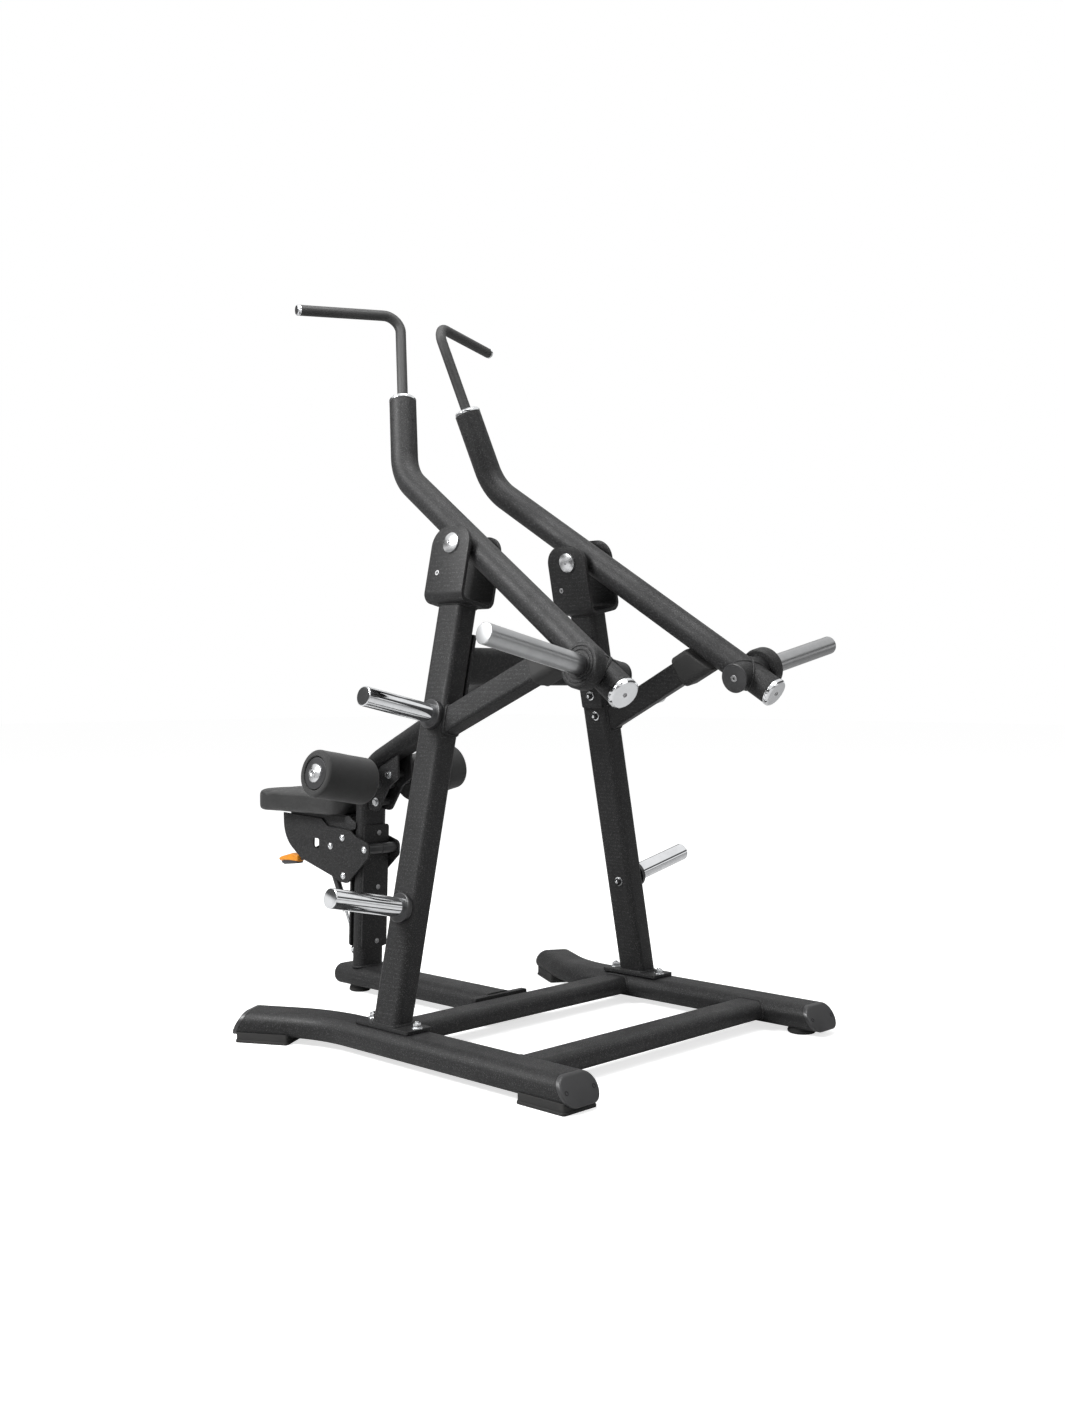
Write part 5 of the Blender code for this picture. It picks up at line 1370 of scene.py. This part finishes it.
def settle(piece):
    """Makes the modifiers' result the piece's own mesh."""
    graph = bpy.context.evaluated_depsgraph_get()
    mesh = bpy.data.meshes.new_from_object(piece.evaluated_get(graph), preserve_all_data_layers=True,
                                           depsgraph=graph)
    piece.modifiers.clear()
    piece.data = mesh


VINYL = vinyl_finish()
cushion_shell = prism(lambda grow: cushion_outline(grow - 0.003), in_machine((0, 0, CUSHION_LOW)), X_AXIS,
                      Y_AXIS, 0.0, CUSHION_T - 0.003, 0.011, 8)
cushion = make("seat_cushion_cover", [cushion_shell], VINYL, "seat", ["seat_cushion"])
inflate(cushion)
cushion.data.shade_smooth()


# ---- Latch, lever and gas strut -------------------------------------------------------------------
# A steel pin slides in the carriage's block, a flat steel lever with an orange moulded grip draws it, and
# a small black gas strut with a polished rod holds the seat's weight.

LEVER_X = 0.026
LEVER_W = 0.008
LATCH_R = 0.006
STRUT_TUBE_START = 0.125

front_face = -(CROSS_H / 2 + GAP + FRONT_GUIDE_T)
pin_tip = front_face - 0.001
pin = full_profile([(LATCH_R, -0.075, 0.0008), (LATCH_R, 0, 0.0014)])
make("latch_pin_rod", [turned(pin, in_post((0, pin_tip, LATCH_T)), POST_REAR, 32)], SATIN_STEEL, "latch",
     ["latch_pin"])

lever_origin = in_post((LEVER_X, *LEVER))
bar = cut_plate([(0.012, -0.010, 0.008), (0.012, 0.010, 0.008), (-0.100, -0.012, 0.02),
                 (-0.190, -0.052, 0.008), (-0.190, -0.070, 0.004), (-0.100, -0.040, 0.02)], LEVER_W, 0.0010)
make("lever_bar", [placed(bar, lever_origin, POST_REAR, POST_UP)], FRAME_COAT, "lever", ["seat_lever"])
GRIP_ORANGE = plastic("orange_moulded_grip", "orange_grip", (0.56, 0.20, 0.006), 0.42, 0.10)
hand = rounded_corners([(-0.192, -0.052, 0.003), (-0.230, -0.050, 0.03), (-0.280, -0.066, 0.02),
                        (-0.306, -0.086, 0.005), (-0.240, -0.076, 0.03), (-0.192, -0.074, 0.003)])
belly = rounded_corners([(-0.196, -0.068, 0.003), (-0.240, -0.070, 0.03), (-0.288, -0.084, 0.004),
                         (-0.270, -0.092, 0.008), (-0.196, -0.080, 0.003)])


def blade(outline, width):
    """Moulded blade: the outline carried across the lever, drawn in to its middle line near both sides."""
    middle = outline.mean(axis=0)
    rings = []
    for turn in np.linspace(-pi / 2, pi / 2, 13):
        narrow = 0.55 + 0.45 * cos(turn)
        lean = (outline - middle) * (0.90 + 0.10 * cos(turn), narrow)
        rings.append(lever_origin + X_AXIS * sin(turn) * width / 2 + POST_REAR * (middle + lean)[:, :1]
                     + POST_UP * (middle + lean)[:, 1:])
    return skin(rings)


make("lever_hand_grip", [blade(hand, 0.030)], GRIP_ORANGE, "lever", ["lever_grip"])
make("lever_grip_underside", [blade(belly, 0.027)], BLACK_PLASTIC, "lever")

strut_low = in_post((0, *STRUT_LOW))
strut_high = in_post((0, *STRUT_UP))
STRUT = unit(strut_high - strut_low)
strut_length = np.linalg.norm(strut_high - strut_low)
rod = full_profile([(0.005, 0.004, 0), (0.005, STRUT_TUBE_START + 0.04, 0)])
eye = full_profile([(0.010, -0.008, 0.001), (0.010, 0.008, 0.001)])
make("strut_rod_polished", [turned(rod, strut_low, STRUT, 32), turned(eye, strut_low, X_AXIS, 32)], CHROME,
     "strut_lower", ["strut_rod"])
barrel_end = strut_length - 0.010
barrel = full_profile([(0.011, STRUT_TUBE_START, 0.0014), (0.011, barrel_end - 0.012, 0.003),
                       (0.006, barrel_end - 0.006, 0.001), (0.006, barrel_end, 0)])
upper_eye = soft_profile([(0.0085, -0.007, 0), (0.0125, -0.007, 0.001), (0.0125, 0.007, 0.001),
                          (0.0085, 0.007, 0)])
make("strut_barrel", [turned(barrel, strut_low, STRUT, 40),
                      turned(upper_eye, strut_high, X_AXIS, 36, closed=True)], BLACK_PLASTIC, "strut_upper",
     ["strut_tube"])


# ---- Floor, light and camera ----------------------------------------------------------------------
# A plain pale floor under soft studio light from the left and above. The camera stands behind the
# machine and to its right, about halfway up it.


def studio_floor():
    """Wide pale matte sheet. To the camera it also glows a little, so it runs into the white backdrop."""
    material, tree, shader = new_material("studio_floor", "", (0.62, 0.62, 0.62), 0.9)
    lit = node(tree, "ShaderNodeBsdfDiffuse", {"Color": (0.80, 0.80, 0.80, 1)})
    glow = node(tree, "ShaderNodeEmission", {"Strength": FLOOR_GLOW})
    bright = node(tree, "ShaderNodeAddShader", {0: lit.outputs[0], 1: glow.outputs[0]})
    to_camera = node(tree, "ShaderNodeLightPath").outputs["Is Camera Ray"]
    seen = node(tree, "ShaderNodeMixShader", {0: to_camera, 1: shader.outputs[0], 2: bright.outputs[0]})
    tree.links.new(seen.outputs[0], tree.nodes["Material Output"].inputs["Surface"])
    reach = 30.0
    mesh = bpy.data.meshes.new("studio_floor")
    mesh.from_pydata([(-reach, -reach, 0), (reach, -reach, 0), (reach, reach, 0), (-reach, reach, 0)], [],
                     [(0, 1, 2, 3)])
    mesh.materials.append(material)
    floor = bpy.data.objects.new("studio_floor", mesh)
    bpy.context.scene.collection.objects.link(floor)


def studio_world():
    """White to the camera, a soft grey gradient for lighting, and bright with a dark band for reflections."""
    world = bpy.data.worlds.new("studio")
    bpy.context.scene.world = world
    world.use_nodes = True
    tree = world.node_tree
    tree.nodes.clear()
    direction = node(tree, "ShaderNodeTexCoord").outputs["Generated"]
    height = node(tree, "ShaderNodeSeparateXYZ", {"Vector": direction}).outputs["Z"]
    soft = ramp(tree, height, -0.3, 0.9, 0.06, 0.42)
    low_edge = ramp(tree, height, 0.10, 0.16, 1.0, 0.0)
    high_edge = ramp(tree, height, 0.30, 0.42, 0.0, 1.0)
    banded = node(tree, "ShaderNodeMath", {0: low_edge, 1: high_edge}, operation="MAXIMUM").outputs[0]
    studio = ramp(tree, banded, 0.0, 1.0, 0.10, 1.05)
    rays = node(tree, "ShaderNodeLightPath").outputs
    white = (1, 1, 1, 1)
    surround = node(tree, "ShaderNodeBackground", {"Color": white, "Strength": soft})
    reflected = node(tree, "ShaderNodeBackground", {"Color": white, "Strength": studio})
    backdrop = node(tree, "ShaderNodeBackground", {"Color": white, "Strength": BACKDROP})
    lighting = node(tree, "ShaderNodeMixShader", {0: rays["Is Glossy Ray"], 1: surround.outputs[0],
                                                  2: reflected.outputs[0]})
    mix = node(tree, "ShaderNodeMixShader", {0: rays["Is Camera Ray"], 1: lighting.outputs[0],
                                             2: backdrop.outputs[0]})
    output = node(tree, "ShaderNodeOutputWorld")
    tree.links.new(mix.outputs[0], output.inputs["Surface"])


def area_light(name, place, target, size, power):
    light = bpy.data.lights.new(name, "AREA")
    light.shape = "RECTANGLE"
    light.size, light.size_y = size
    light.energy = power
    lamp = bpy.data.objects.new(name, light)
    bpy.context.scene.collection.objects.link(lamp)
    lamp.location = place
    lamp.rotation_mode = "QUATERNION"
    lamp.rotation_quaternion = (Vector(target) - Vector(place)).to_track_quat("-Z", "Y")


BACKDROP = 1.0
FLOOR_GLOW = 0.70
CAMERA_AT = (2.86279, 2.99946, 0.93807)
CAMERA_YAW = radians(46)
CAMERA_PITCH = radians(0.3)
CAMERA_LENS = 37.034
CAMERA_SHIFT = (0.0026, -0.01275)

studio_floor()
studio_world()
area_light("key_from_left", (3.6, -1.2, 3.4), (0, 0, 0.8), (1.6, 1.6), 260)
area_light("top_soft_box", (0.4, 0.6, 4.2), (0, 0.1, 0.9), (2.4, 2.4), 110)
area_light("fill_from_right", (0.2, 4.4, 2.0), (0, 0.2, 0.8), (2.0, 2.0), 22)

camera_data = bpy.data.cameras.new("photo_view")
camera_data.lens = CAMERA_LENS
camera_data.sensor_width = 36.0
camera_data.shift_x, camera_data.shift_y = CAMERA_SHIFT
camera = bpy.data.objects.new("photo_view", camera_data)
bpy.context.scene.collection.objects.link(camera)
facing = Vector((-sin(CAMERA_YAW) * cos(CAMERA_PITCH), -cos(CAMERA_YAW) * cos(CAMERA_PITCH),
                 -sin(CAMERA_PITCH)))
right = facing.cross(Vector((0, 0, 1))).normalized()
upward = right.cross(facing)
camera.matrix_world = Matrix.Translation(CAMERA_AT) @ Matrix((right, upward, -facing)).transposed().to_4x4()
bpy.context.scene.camera = camera
bpy.context.scene.view_settings.view_transform = "Standard"
